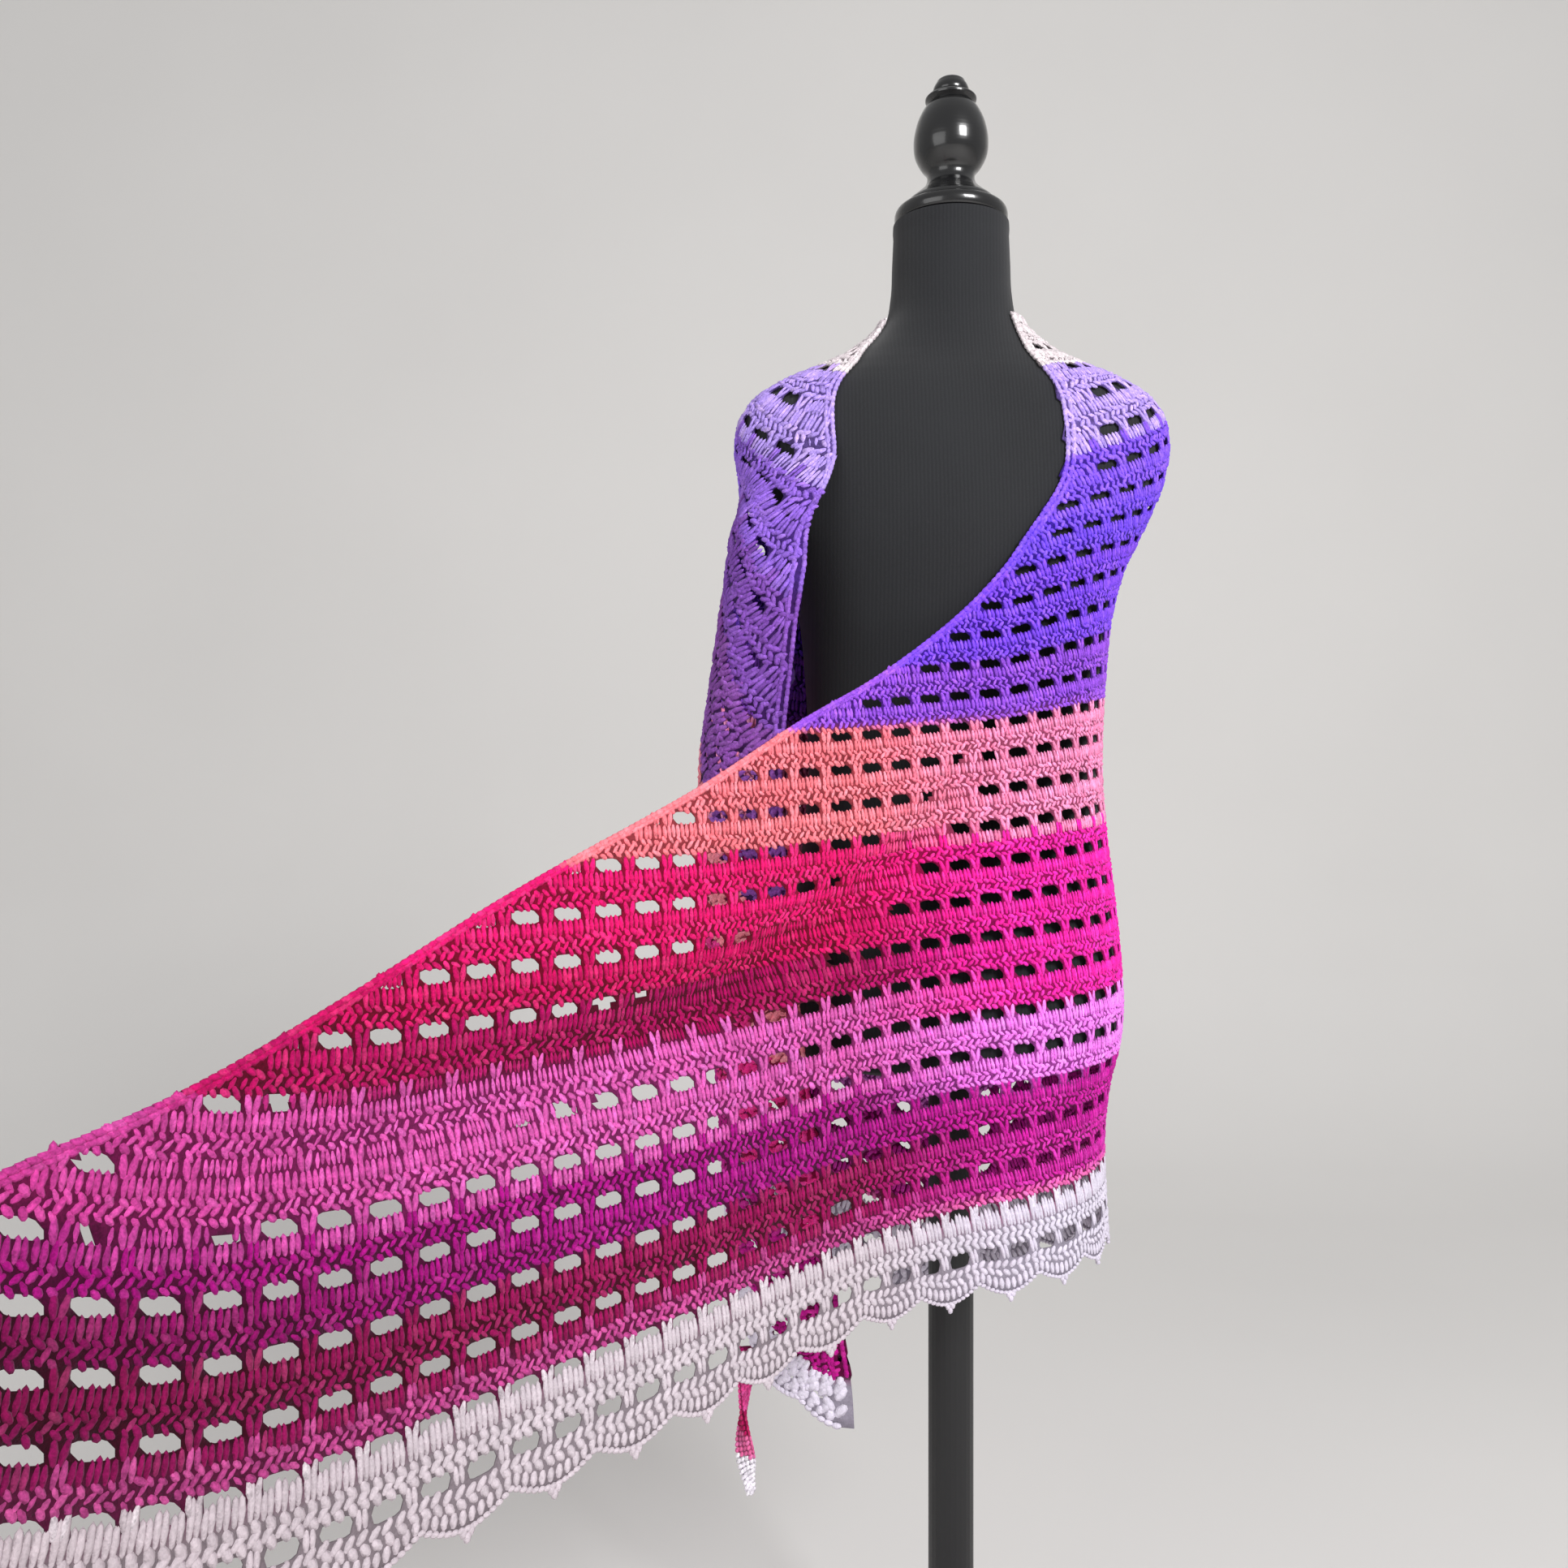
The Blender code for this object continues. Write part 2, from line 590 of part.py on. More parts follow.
def shawl(yarn, edging, collection):
    """Each stretch as a sheet of stitches, and its edging below it."""
    left = (left_point, left_edge)
    right = (right_point, right_edge)
    stretches = {
        "back_left": (*left, SEAM_PITCHES, SIDE_SEAM - SEAM_PITCHES, None),
        "left_front": (*left, SIDE_SEAM + SEAM_PITCHES, WING_SEAM - SEAM_PITCHES, left_eyelet),
        "left_wing": (*left, WING_SEAM + SEAM_PITCHES, WING_TIP, left_eyelet),
        "back_right": (*right, SEAM_PITCHES, SIDE_FOLD - SEAM_PITCHES, None),
        "right_panel": (*right, SIDE_FOLD + SEAM_PITCHES, PANEL_LAST_PITCH, None),
    }
    wing_row = float(np.interp(WING_FIRST_PITCH, LEFT_EDGE_AT["along"], LEFT_EDGE_AT["row"]))
    for stretch, (point, edge, first, last, eyelet) in stretches.items():
        mirrored = point is left_point
        alongs = stitch_lines(first, last, bool(eyelet))
        first_row = wing_row if stretch == "left_wing" else 0.0
        rows = row_lines(first_row, EDGING_START - SEAM_ROWS, bool(eyelet))
        cloth(f"shawl_{stretch}", alongs, rows, edge, point, eyelet, mirrored, yarn, collection)
        edging_rows = (EDGING_START + SEAM_ROWS, EDGING_MIDDLE, ROWS)
        drawn = scalloped(point, SCALLOP)
        cloth(f"edging_{stretch}", alongs, edging_rows, edge, drawn, None, mirrored, edging, collection)


def main():
    for obj in list(bpy.data.objects):
        bpy.data.objects.remove(obj, do_unlink=True)
    collection = bpy.data.collections.new("shawl_on_dress_form")
    bpy.context.scene.collection.children.link(collection)
    jersey = plain_material("form_jersey")
    lacquer = plain_material("black_lacquer")
    steel = plain_material("black_steel")
    yarn = plain_material("yarn")
    edging = plain_material("edging_yarn")

    turned("stand_base", BASE_PROFILE, steel, collection)
    bottom = BASE_PROFILE[0][1] + SEAM
    top = FORM_BOTTOM - SEAM
    pole_profile = [(0.0, top), (POLE_RADIUS, top), (POLE_RADIUS, bottom), (0.0, bottom)]
    turned("stand_pole", pole_profile, steel, collection)
    torso(jersey, collection)
    disc_bottom = FORM_SECTIONS[0][0] + SEAM
    turned("form_neck_disc", disc_profile(disc_bottom), lacquer, collection)
    turned("form_finial", finial_profile(disc_bottom + DISC_HEIGHT + SEAM), lacquer, collection)
    shawl(yarn, edging, collection)
    tail(yarn, collection)


main()
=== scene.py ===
import math

import bmesh
import bpy
import numpy as np
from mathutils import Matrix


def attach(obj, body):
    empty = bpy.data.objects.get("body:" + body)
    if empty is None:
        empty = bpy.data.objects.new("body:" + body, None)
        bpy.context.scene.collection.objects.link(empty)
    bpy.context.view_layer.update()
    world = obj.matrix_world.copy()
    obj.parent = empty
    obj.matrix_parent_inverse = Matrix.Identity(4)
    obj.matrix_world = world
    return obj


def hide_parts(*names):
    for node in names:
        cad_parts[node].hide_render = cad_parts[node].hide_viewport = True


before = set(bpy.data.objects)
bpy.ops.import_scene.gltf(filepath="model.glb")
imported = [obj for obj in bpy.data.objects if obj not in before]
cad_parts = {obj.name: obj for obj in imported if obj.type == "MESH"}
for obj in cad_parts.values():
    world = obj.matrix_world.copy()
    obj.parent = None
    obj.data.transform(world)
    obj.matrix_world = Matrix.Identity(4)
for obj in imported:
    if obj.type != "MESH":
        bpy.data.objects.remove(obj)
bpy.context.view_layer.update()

scene = bpy.context.scene
print("scene: frame loaded")

# Camera first: level, in front of the form and a little to its right
view = {"place": (-0.148, -1.224, 0.90), "lens": 31.68, "sensor": 36.0}

# The form's sections from the neck down, as in the solids: height, half width, front, back
formShape = {
    "height": (1.394, 1.360, 1.330, 1.308, 1.290, 1.273, 1.259, 1.247, 1.234, 1.218, 1.198, 1.165,
               1.125, 1.085, 1.040, 1.000, 0.950, 0.910, 0.860, 0.800, 0.740, 0.700, 0.672,
               0.645, 0.600, 0.550, 0.500, 0.420, 0.340),
    "half": (0.0505, 0.0520, 0.0535, 0.0580, 0.0710, 0.0945, 0.1250, 0.1530, 0.1730, 0.1835, 0.1865,
             0.1810, 0.1640, 0.1450, 0.1340, 0.1300, 0.1270, 0.1265, 0.1300, 0.1375, 0.1435, 0.1450,
             0.1420, 0.1350, 0.1290, 0.1300, 0.1330, 0.1340, 0.1340),
    "front": (0.0500, 0.0505, 0.0510, 0.0530, 0.0570, 0.0630, 0.0700, 0.0770, 0.0840, 0.0910, 0.0980,
              0.1080, 0.1170, 0.1190, 0.1110, 0.1010, 0.0930, 0.0920, 0.0970, 0.1050, 0.1100, 0.1100,
              0.1060, 0.1050, 0.1060, 0.1070, 0.1080, 0.1090, 0.1090),
    "back": (0.0505, 0.0530, 0.0550, 0.0580, 0.0620, 0.0680, 0.0740, 0.0800, 0.0850, 0.0890, 0.0920,
             0.0950, 0.0955, 0.0930, 0.0880, 0.0840, 0.0820, 0.0840, 0.0920, 0.1020, 0.1090, 0.1090,
             0.1050, 0.1040, 0.1040, 0.1050, 0.1060, 0.1070, 0.1070),
    "formRows": 23,  # rows that belong to the form itself, the rest only guide the cloth
    "bottom": 0.658,
    "bottomShare": 0.90,
}
looseRoom = {  # extra room between form and cloth
    "height": (1.394, 1.120, 1.050, 0.960, 0.880, 0.780, 0.700, 0.340),
    "front": (0.000, 0.000, 0.005, 0.018, 0.018, 0.006, 0.002, 0.002),
    "back": (0.000, 0.000, 0.004, 0.014, 0.012, 0.002, 0.001, 0.001),
}
cloth = {
    "wall": 0.003, "gap": 0.0024, "neckEdge": 1.305, "row": 0.0313, "rows": 28.0,
    "pitchTurn": math.radians(11.0), "leavesForm": 16.0, "edgingStart": 26.35,
}
leftEdge = {  # where a row of the left half ends
    "row": (0.0, 1.8, 3.7, 5.0, 7.5, 8.5, 9.8, 10.7, 11.5, 12.2, 12.9, 13.7, 14.7, 16.2, 17.7, 19.7,
            21.4, 24.6, 28.0),
    "along": (11.8, 13.4, 14.0, 14.0, 14.1, 14.6, 15.5, 16.6, 18.0, 19.5, 21.2, 23.0, 25.3, 28.9, 32.2,
              36.0, 39.0, 43.6, 48.6),
}
wingPlan = {
    "along": (18.0, 20.0, 22.0, 25.3, 29.5, 33.6, 37.7, 41.7, 45.6, 49.0),
    "x": (-0.040, -0.088, -0.138, -0.208, -0.300, -0.382, -0.452, -0.508, -0.553, -0.588),
    "y": (-0.127, -0.152, -0.203, -0.285, -0.393, -0.500, -0.620, -0.745, -0.870, -0.985),
}
leftLift = {
    "along": (0.0, 4.0, 8.0, 12.0, 16.0, 22.0, 30.0, 33.5, 36.5, 39.0, 44.0, 49.0),
    "hem": (-0.100, -0.040, 0.004, 0.000, -0.012, -0.026, -0.026, -0.022, -0.004, 0.026, 0.098, 0.176),
    "neck": (0.000, 0.000, 0.000, 0.000, -0.006, -0.020, -0.026, -0.022, -0.004, 0.026, 0.098, 0.176),
}
trough = {
    "along": (15.5, 17.4, 19.8, 22.0, 24.5, 28.0, 33.0, 38.0),
    "height": (0.935, 0.872, 0.812, 0.783, 0.752, 0.729, 0.716, 0.700),
    "depth": (0.000, 0.011, 0.014, 0.015, 0.014, 0.011, 0.006, 0.000),
    "width": (0.026, 0.026, 0.028, 0.030, 0.030, 0.030, 0.030, 0.030),
}
rightEdge = {
    "row": (0.0, 1.5, 3.0, 4.5, 6.0, 7.5, 28.0),
    "along": (10.0, 11.4, 12.8, 13.2, 13.2, 13.0, 13.0),
}
panel = {
    "fold": 8.2, "edge": 13.0, "corner": 2.8, "wave": 0.006, "freeAbove": 1.195, "freeBelow": 1.105,
    "height": (1.240, 1.200, 1.160, 1.100, 1.050, 0.980, 0.920, 0.800, 0.650, 0.500, 0.340),
    "foldX": (0.1880, 0.1895, 0.1900, 0.1945, 0.2010, 0.2110, 0.2190, 0.2150, 0.2050, 0.1950, 0.1860),
    "edgeX": (0.090, 0.100, 0.118, 0.130, 0.132, 0.133, 0.134, 0.122, 0.108, 0.097, 0.090),
    "edgeY": (-0.088, -0.098, -0.108, -0.116, -0.119, -0.122, -0.124, -0.126, -0.126, -0.124, -0.121),
    "slantRow": (0.0, 3.0, 6.0, 9.0, 13.0, 19.0, 24.0, 28.0),
    "slant": (0.000, 0.000, 0.050, 0.115, 0.155, 0.170, 0.165, 0.112),
    "dipAlong": (0.0, 4.0, 8.2, 13.0),
    "dip": (0.100, 0.040, 0.004, 0.000),
}


def curveAt(xs, ys, x):  # smooth curve through points; ys is one value a point, or one row a point
    xs = np.asarray(xs, float)
    ys = np.asarray(ys, float)
    x = np.clip(np.atleast_1d(np.asarray(x, float)), xs[0], xs[-1])
    steps = np.diff(xs)
    wide = steps if ys.ndim == 1 else steps[:, None]
    slopes = np.diff(ys, axis=0) / wide
    ahead = wide[1:] / (wide[:-1] + wide[1:])
    tangents = np.concatenate([slopes[:1], slopes[:-1] * ahead + slopes[1:] * (1 - ahead), slopes[-1:]])
    i = np.clip(np.searchsorted(xs, x, side="right") - 1, 0, len(steps) - 1)
    first = i if ys.ndim == 1 else (i, np.arange(len(x)))
    second = i + 1 if ys.ndim == 1 else (i + 1, np.arange(len(x)))
    t = (x - xs[i]) / steps[i]
    start = (1 + 2 * t) * (1 - t) ** 2 * ys[first] + t * (1 - t) ** 2 * steps[i] * tangents[first]
    end = t * t * (3 - 2 * t) * ys[second] + t * t * (t - 1) * steps[i] * tangents[second]
    return start + end


def ease(x, start, end):
    t = np.clip((np.asarray(x, float) - start) / (end - start), 0.0, 1.0)
    return t * t * (3 - 2 * t)


heights = np.array(formShape["height"])
halves = np.array(formShape["half"])
sideLine = np.concatenate([[0.0], np.cumsum(np.hypot(np.diff(heights), np.diff(halves)))])
formLength = sideLine[formShape["formRows"] - 1]
neckLength = float(np.interp(-cloth["neckEdge"], -heights, sideLine))


def formSkin(angle, length, withRoom):
    height = curveAt(sideLine, heights, length)
    half, front, back = (curveAt(sideLine, formShape[name], length) for name in ("half", "front", "back"))
    if withRoom:
        down = -np.array(looseRoom["height"])
        front = front + curveAt(down, looseRoom["front"], -height)
        back = back + curveAt(down, looseRoom["back"], -height)
    sine = np.sin(angle)
    return np.stack([half * np.cos(angle), np.where(sine < 0, front, back) * sine, height], axis=1)


def unit(vectors):
    return vectors / np.maximum(np.linalg.norm(vectors, axis=1, keepdims=True), 1e-12)


def wornPoint(angle, length):
    angle = np.atleast_1d(angle) * np.ones_like(length)
    around = formSkin(angle + 0.02, length, True) - formSkin(angle - 0.02, length, True)
    down = formSkin(angle, length + 0.004, True) - formSkin(angle, np.maximum(length - 0.004, 0.0), True)
    return formSkin(angle, length, True) + unit(np.cross(down, around)) * cloth["gap"]


def leftPlan(along, length):
    worn = wornPoint(math.pi / 2 - np.minimum(along, cloth["leavesForm"]) * cloth["pitchTurn"], length)
    before = [cloth["leavesForm"] - back for back in (3.0, 1.5, 0.0)]
    held = [wornPoint(math.pi / 2 - stop * cloth["pitchTurn"], length) for stop in before]
    stops = np.concatenate([before, wingPlan["along"]])
    free = np.zeros_like(worn)
    for axis, name in enumerate(("x", "y")):
        line = [point[:, axis] for point in held] + [np.full(len(length), v) for v in wingPlan[name]]
        free[:, axis] = curveAt(stops, np.array(line), along)
    free[:, 2] = held[-1][:, 2]
    return np.where((along <= cloth["leavesForm"])[:, None], worn, free)


def leftSurface(along, row):  # inner side of the left half, row counted as in the solids
    along = np.asarray(along, float)
    share = row / cloth["rows"]
    low, high = (curveAt(leftLift["along"], leftLift[name], along) for name in ("hem", "neck"))
    length = neckLength + row * cloth["row"] - (high * (1 - share) + low * share)
    place = leftPlan(along, length)
    ahead = leftPlan(along + 0.2, length) - leftPlan(along - 0.2, length)
    inward = unit(np.stack([ahead[:, 1], -ahead[:, 0], np.zeros(len(along))], axis=1))
    names = ("height", "depth", "width")
    centre, depth, width = (curveAt(trough["along"], trough[name], along) for name in names)
    depth = depth * np.exp(-(((place[:, 2] - centre) / width) ** 2)) * (along > 12.0)
    return place + inward * depth[:, None]


def rightSurface(along, row):  # inner side of the right half
    along = np.asarray(along, float)
    sunk = ease(along, panel["fold"] - 0.7, panel["edge"]) * curveAt(panel["slantRow"], panel["slant"], row)
    dip = curveAt(panel["dipAlong"], panel["dip"], along) * row / cloth["rows"]
    length = neckLength + row * cloth["row"] + sunk + dip
    worn = wornPoint(math.pi / 2 + along * cloth["pitchTurn"], length)
    height = worn[:, 2]
    free = 1.0 - ease(height, panel["freeBelow"], panel["freeAbove"])
    down = -np.array(panel["height"])
    foldX, edgeX, edgeY = (curveAt(down, panel[name], -height) for name in ("foldX", "edgeX", "edgeY"))
    behind = np.clip(along / panel["fold"], 0.0, 1.0) * math.pi / 2
    depth = np.abs(wornPoint(math.pi / 2, length)[:, 1])
    back = np.stack([-foldX * np.sin(behind), depth * np.cos(behind), height], axis=1)
    turn = np.clip((along - panel["fold"]) / (panel["edge"] - panel["fold"]), 0.0, 1.0) * math.pi / 2
    across = np.abs(np.cos(turn)) ** (2 / panel["corner"])
    forward = np.sin(turn) ** (2 / panel["corner"])
    ripple = panel["wave"] * np.sin(4 * turn)
    front = np.stack([-edgeX - (foldX - edgeX) * across, edgeY * forward - ripple, height], axis=1)
    hung = np.where((along <= panel["fold"])[:, None], back, front)
    return worn + (hung - worn) * free[:, None]


halfOf = {
    "left": {"surface": leftSurface, "edge": leftEdge, "side": 1.0, "last": 48.6},
    "right": {"surface": rightSurface, "edge": rightEdge, "side": -1.0, "last": 13.2},
}
# Each half's surface is worked out once on a fine grid, and read between its points
gridStep = 0.1
surfaceGrid = {}
for side, lastPitch in (("left", 50.5), ("right", 15.0)):
    alongLine = np.arange(-1.0, lastPitch, gridStep)
    rowLine = np.arange(-1.0, 31.0, gridStep)
    allAlong, allRow = np.meshgrid(alongLine, rowLine, indexing="ij")
    spots = halfOf[side]["surface"](allAlong.ravel(), allRow.ravel())
    surfaceGrid[side] = spots.reshape(len(alongLine), len(rowLine), 3)


def surfaceAt(side, along, row):
    grid = surfaceGrid[side]
    x = np.clip((along + 1.0) / gridStep, 0.0, grid.shape[0] - 1.001)
    y = np.clip((row + 1.0) / gridStep, 0.0, grid.shape[1] - 1.001)
    i, j = x.astype(int), y.astype(int)
    s, t = (x - i)[:, None], (y - j)[:, None]
    upper = grid[i, j] * (1 - s) + grid[i + 1, j] * s
    return upper * (1 - t) + (grid[i, j + 1] * (1 - s) + grid[i + 1, j + 1] * s) * t


# How far the rows of stitches dip towards the front edges, in rows
rowTilt = {
    "left": {"row": (0.0, 2.5, 5.0, 8.0, 11.0, 14.0, 17.0, 28.0),
             "dip": (0.0, 1.60, 2.00, 1.45, 0.80, 0.25, 0.0, 0.0), "from": 8.0, "to": 14.0},
    "right": {"row": (0.0, 2.0, 4.0, 6.0, 8.0, 10.0, 13.0, 17.0, 22.0, 28.0),
              "dip": (0.0, 1.29, 1.42, 1.32, 1.09, 1.28, 1.57, 1.27, 0.0, 0.0), "from": 6.8, "to": 13.2},
}


def surfaceRow(side, along, row):  # row of the cloth's surface that a row of stitches lies on
    tilt = rowTilt[side]
    share = np.clip((along - tilt["from"]) / (tilt["to"] - tilt["from"]), 0.0, 1.2)
    return row + curveAt(tilt["row"], tilt["dip"], row) * share


def lastAlong(side, along, row):  # where the edge stops a row of stitches; what is close to it moves onto it
    edge = halfOf[side]["edge"]
    stop = np.array(along, float)
    for _ in range(6):
        edgeHere = curveAt(edge["row"], edge["along"], surfaceRow(side, stop, row))
        stop = np.where(along > edgeHere - 0.12, edgeHere, along)
    return stop


def clothPoint(side, along, row):
    return surfaceAt(side, along, surfaceRow(side, along, row))


def frameAt(side, along, row, lift=0.0):  # place, step along, step down and outward direction of each stitch
    stepAlong = (clothPoint(side, along + 0.1, row) - clothPoint(side, along - 0.1, row)) / 0.2
    stepDown = (clothPoint(side, along, row + 0.1) - clothPoint(side, along, row - 0.1)) / 0.2
    outward = unit(np.cross(stepAlong, stepDown)) * halfOf[side]["side"]
    place = clothPoint(side, along, row) + outward * (cloth["wall"] / 2 + np.reshape(lift, (-1, 1)))
    return place, stepAlong, stepDown, outward


def hexColour(text):  # sRGB hex to linear
    parts = [int(text[i:i + 2], 16) / 255 for i in (1, 3, 5)]
    return [c / 12.92 if c <= 0.04045 else ((c + 0.055) / 1.055) ** 2.4 for c in parts]


def addNode(tree, kind, values=None, links=None, **settings):
    node = tree.nodes.new(kind)
    for name, value in settings.items():
        setattr(node, name, value)
    for name, value in (values or {}).items():
        node.inputs[name].default_value = value
    for name, source in (links or {}).items():
        tree.links.new(source, node.inputs[name])
    return node


def startMaterial(name, values):
    material = bpy.data.materials.new(name)
    material.use_nodes = True
    tree = material.node_tree
    shader = tree.nodes["Principled BSDF"]
    for socket, value in values.items():
        shader.inputs[socket].default_value = value
    return material, tree, shader, addNode(tree, "ShaderNodeTexCoord").outputs["Object"]


def addNoise(tree, place, scale, detail):
    noise = addNode(tree, "ShaderNodeTexNoise", {"Scale": scale, "Detail": detail}, {"Vector": place})
    return noise.outputs["Fac"]


def addMath(tree, operation, first, second):
    return addNode(tree, "ShaderNodeMath", links={0: first, 1: second}, operation=operation).outputs[0]


def addTones(tree, shader, factor, first, second):  # base colour between two tones
    tone = addNode(tree, "ShaderNodeMix", links={0: factor}, data_type="RGBA")
    tone.inputs[6].default_value = (*hexColour(first), 1.0)
    tone.inputs[7].default_value = (*hexColour(second), 1.0)
    tree.links.new(tone.outputs[2], shader.inputs["Base Color"])


def addBump(tree, shader, height, strength, distance):
    bump = addNode(tree, "ShaderNodeBump", {"Strength": strength, "Distance": distance}, {"Height": height})
    tree.links.new(bump.outputs["Normal"], shader.inputs["Normal"])


def addRoughness(tree, shader, factor, low, high):
    varied = addNode(tree, "ShaderNodeMapRange", {"To Min": low, "To Max": high}, {"Value": factor})
    tree.links.new(varied.outputs["Result"], shader.inputs["Roughness"])


# Brushed wool blend yarn, hand dyed in one long colour change: matt, with a halo of short fibres that
# catches light at grazing angles. Fibre streaks are 1.3 mm long, coarser than real, so that they show.
yarnLook = {"fibre": 1.3, "ply": 3.5, "strength": 0.75, "depth": 0.0008, "roughness": 0.92, "sheen": 0.05}


def yarnMaterial(name, contrast, sheenTint):
    material, tree, shader, place = startMaterial(name, {
        "Roughness": yarnLook["roughness"], "Specular IOR Level": 0.15, "IOR": 1.5,
        "Sheen Weight": yarnLook["sheen"], "Sheen Roughness": 0.45,
        "Sheen Tint": (*hexColour(sheenTint), 1.0),
    })
    colour = addNode(tree, "ShaderNodeAttribute", attribute_name="yarnColour")
    fibre = addNoise(tree, place, 1000 / yarnLook["fibre"], 3.0)
    patch = addNoise(tree, place, 1000 / yarnLook["ply"], 2.0)
    both = addMath(tree, "ADD", fibre, patch)
    limits = {"From Min": 0.7, "From Max": 1.3, "To Min": 1.0 - contrast, "To Max": 1.0 + contrast * 0.7}
    shade = addNode(tree, "ShaderNodeMapRange", limits, {"Value": both})
    mixed = addNode(tree, "ShaderNodeVectorMath", links={0: colour.outputs["Color"]}, operation="SCALE")
    tree.links.new(shade.outputs["Result"], mixed.inputs["Scale"])
    tree.links.new(mixed.outputs["Vector"], shader.inputs["Base Color"])
    addBump(tree, shader, both, yarnLook["strength"], yarnLook["depth"])
    return material


yarnWool = yarnMaterial("brushedWoolYarn", 0.38, "#F4E4FF")
edgingWool = yarnMaterial("undyedWoolYarn", 0.16, "#FFFFFF")

# Cotton jersey pulled tight over the form: matt charcoal with fine ribs that run up and down
jerseyLook = {"colour": "#18181B", "light": "#252629", "rib": 1.6}
jersey, tree, shader, place = startMaterial("charcoalCottonJersey", {
    "Roughness": 0.88, "Specular IOR Level": 0.25, "Sheen Weight": 0.18, "Sheen Roughness": 0.5,
})
ribSize = {"Scale": 1000 / jerseyLook["rib"] / 6.283, "Distortion": 1.2, "Detail": 2.0, "Detail Scale": 2.0}
ribs = addNode(tree, "ShaderNodeTexWave", ribSize, {"Vector": place}, bands_direction="X")
weave = addMath(tree, "MULTIPLY", ribs.outputs["Fac"], addNoise(tree, place, 700.0, 2.0))
wear = addNoise(tree, place, 9.0, 3.0)
addTones(tree, shader, addMath(tree, "ADD", weave, wear), jerseyLook["colour"], jerseyLook["light"])
addBump(tree, shader, weave, 0.18, 0.0005)

# Turned beech under black lacquer: glossy, with faint lathe rings showing through
lacquer, tree, shader, place = startMaterial("lacqueredBeech", {
    "Base Color": (*hexColour("#0D0D0F"), 1.0), "Roughness": 0.22, "IOR": 1.52, "Coat Weight": 0.6,
    "Coat Roughness": 0.08,
})
woodGrain = addNoise(tree, place, 60.0, 4.0)
rings = addNode(tree, "ShaderNodeTexWave", {"Scale": 90.0, "Distortion": 0.6}, {"Vector": place},
                bands_direction="Z")
addBump(tree, shader, addMath(tree, "ADD", woodGrain, rings.outputs["Fac"]), 0.05, 0.0004)
addRoughness(tree, shader, woodGrain, 0.18, 0.32)

# Powder coated steel: satin black with fine orange peel
coatedSteel, tree, shader, place = startMaterial("powderCoatedSteel", {
    "Base Color": (*hexColour("#141416"), 1.0), "Roughness": 0.42, "IOR": 1.5,
})
peel = addNoise(tree, place, 600.0, 1.5)
addBump(tree, shader, peel, 0.12, 0.0003)
addRoughness(tree, shader, peel, 0.36, 0.50)
print("scene: materials made")


def newObject(name, data):
    made = bpy.data.objects.new(name, data)
    scene.collection.objects.link(made)
    return made


def shapeMesh(name, shape):
    mesh = bpy.data.meshes.new(name)
    shape.to_mesh(mesh)
    shape.free()
    return mesh


def smoothPiece(name, mesh, material):
    mesh.materials.append(material)
    mesh.shade_smooth()
    return newObject(name, mesh)


def finishMesh(name, mesh, material, nodes=()):  # a piece that rides on the part
    piece = smoothPiece(name, mesh, material)
    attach(piece, "root")
    if nodes:
        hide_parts(*nodes)
    return piece


def finishPiece(name, shape, material, nodes):
    return finishMesh(name, shapeMesh(name, shape), material, nodes)


def turnedPiece(name, profile, steps, node):  # spun from the axis round to the axis
    shape = bmesh.new()
    verts = [shape.verts.new((radius, 0.0, height)) for radius, height in profile]
    edges = [shape.edges.new(pair) for pair in zip(verts, verts[1:])]
    bmesh.ops.spin(shape, geom=verts + edges, cent=(0, 0, 0), axis=(0, 0, 1), angle=math.tau, steps=steps,
                   use_merge=True, use_duplicate=False)
    bmesh.ops.remove_doubles(shape, verts=shape.verts[:], dist=1e-6)
    bmesh.ops.recalc_face_normals(shape, faces=shape.faces[:])
    piece = finishPiece(name, shape, lacquer, (node,))
    piece.data.set_sharp_from_angle(angle=math.radians(38))


# Finial: small dome, ring over a groove, egg-shaped bulb, waist and flare
finial = {
    "bottom": 1.4086, "height": 0.118, "steps": 64, "points": 90,
    "share": (1.0, 0.985, 0.945, 0.895, 0.865, 0.845, 0.820, 0.800, 0.770, 0.690, 0.600, 0.500, 0.400,
              0.320, 0.265, 0.225, 0.170, 0.100, 0.040, 0.0),
    "radius": (0.0, 0.0080, 0.0135, 0.0160, 0.0165, 0.0215, 0.0225, 0.0195, 0.0225, 0.0280, 0.0315, 0.0330,
               0.0315, 0.0265, 0.0215, 0.0210, 0.0235, 0.0320, 0.0400, 0.0420),
}
shares = np.linspace(1.0, 0.0, finial["points"])
radii = curveAt(-np.array(finial["share"]), finial["radius"], -shares)
radii[0] = 0.0
profile = [(float(r), finial["bottom"] + float(s) * finial["height"]) for r, s in zip(radii, shares)]
turnedPiece("finialTurned", profile + [(0.0, finial["bottom"])], finial["steps"], "form_finial")

# Disc on the neck, with a rim rounded in an ellipse
neckDisc = {"bottom": 1.3943, "radius": 0.050, "height": 0.014, "rim": 0.6, "rimSteps": 10, "steps": 72}
rim = neckDisc["height"] / 2
middle = neckDisc["bottom"] + rim
profile = [(0.0, middle + rim), (neckDisc["radius"] - rim, middle + rim)]
for i in range(1, neckDisc["rimSteps"]):
    turn = math.radians(90 - 180 / neckDisc["rimSteps"] * i)
    out = neckDisc["radius"] - rim * neckDisc["rim"] * (1 - math.cos(turn))
    profile.append((out, middle + rim * math.sin(turn)))
turnedPiece("neckDiscTurned", profile + [(0.0, neckDisc["bottom"])], neckDisc["steps"], "form_neck_disc")

for node in ("stand_pole", "stand_base"):
    bpy.data.objects[node].material_slots[0].material = coatedSteel
print("scene: finial, disc and stand done")

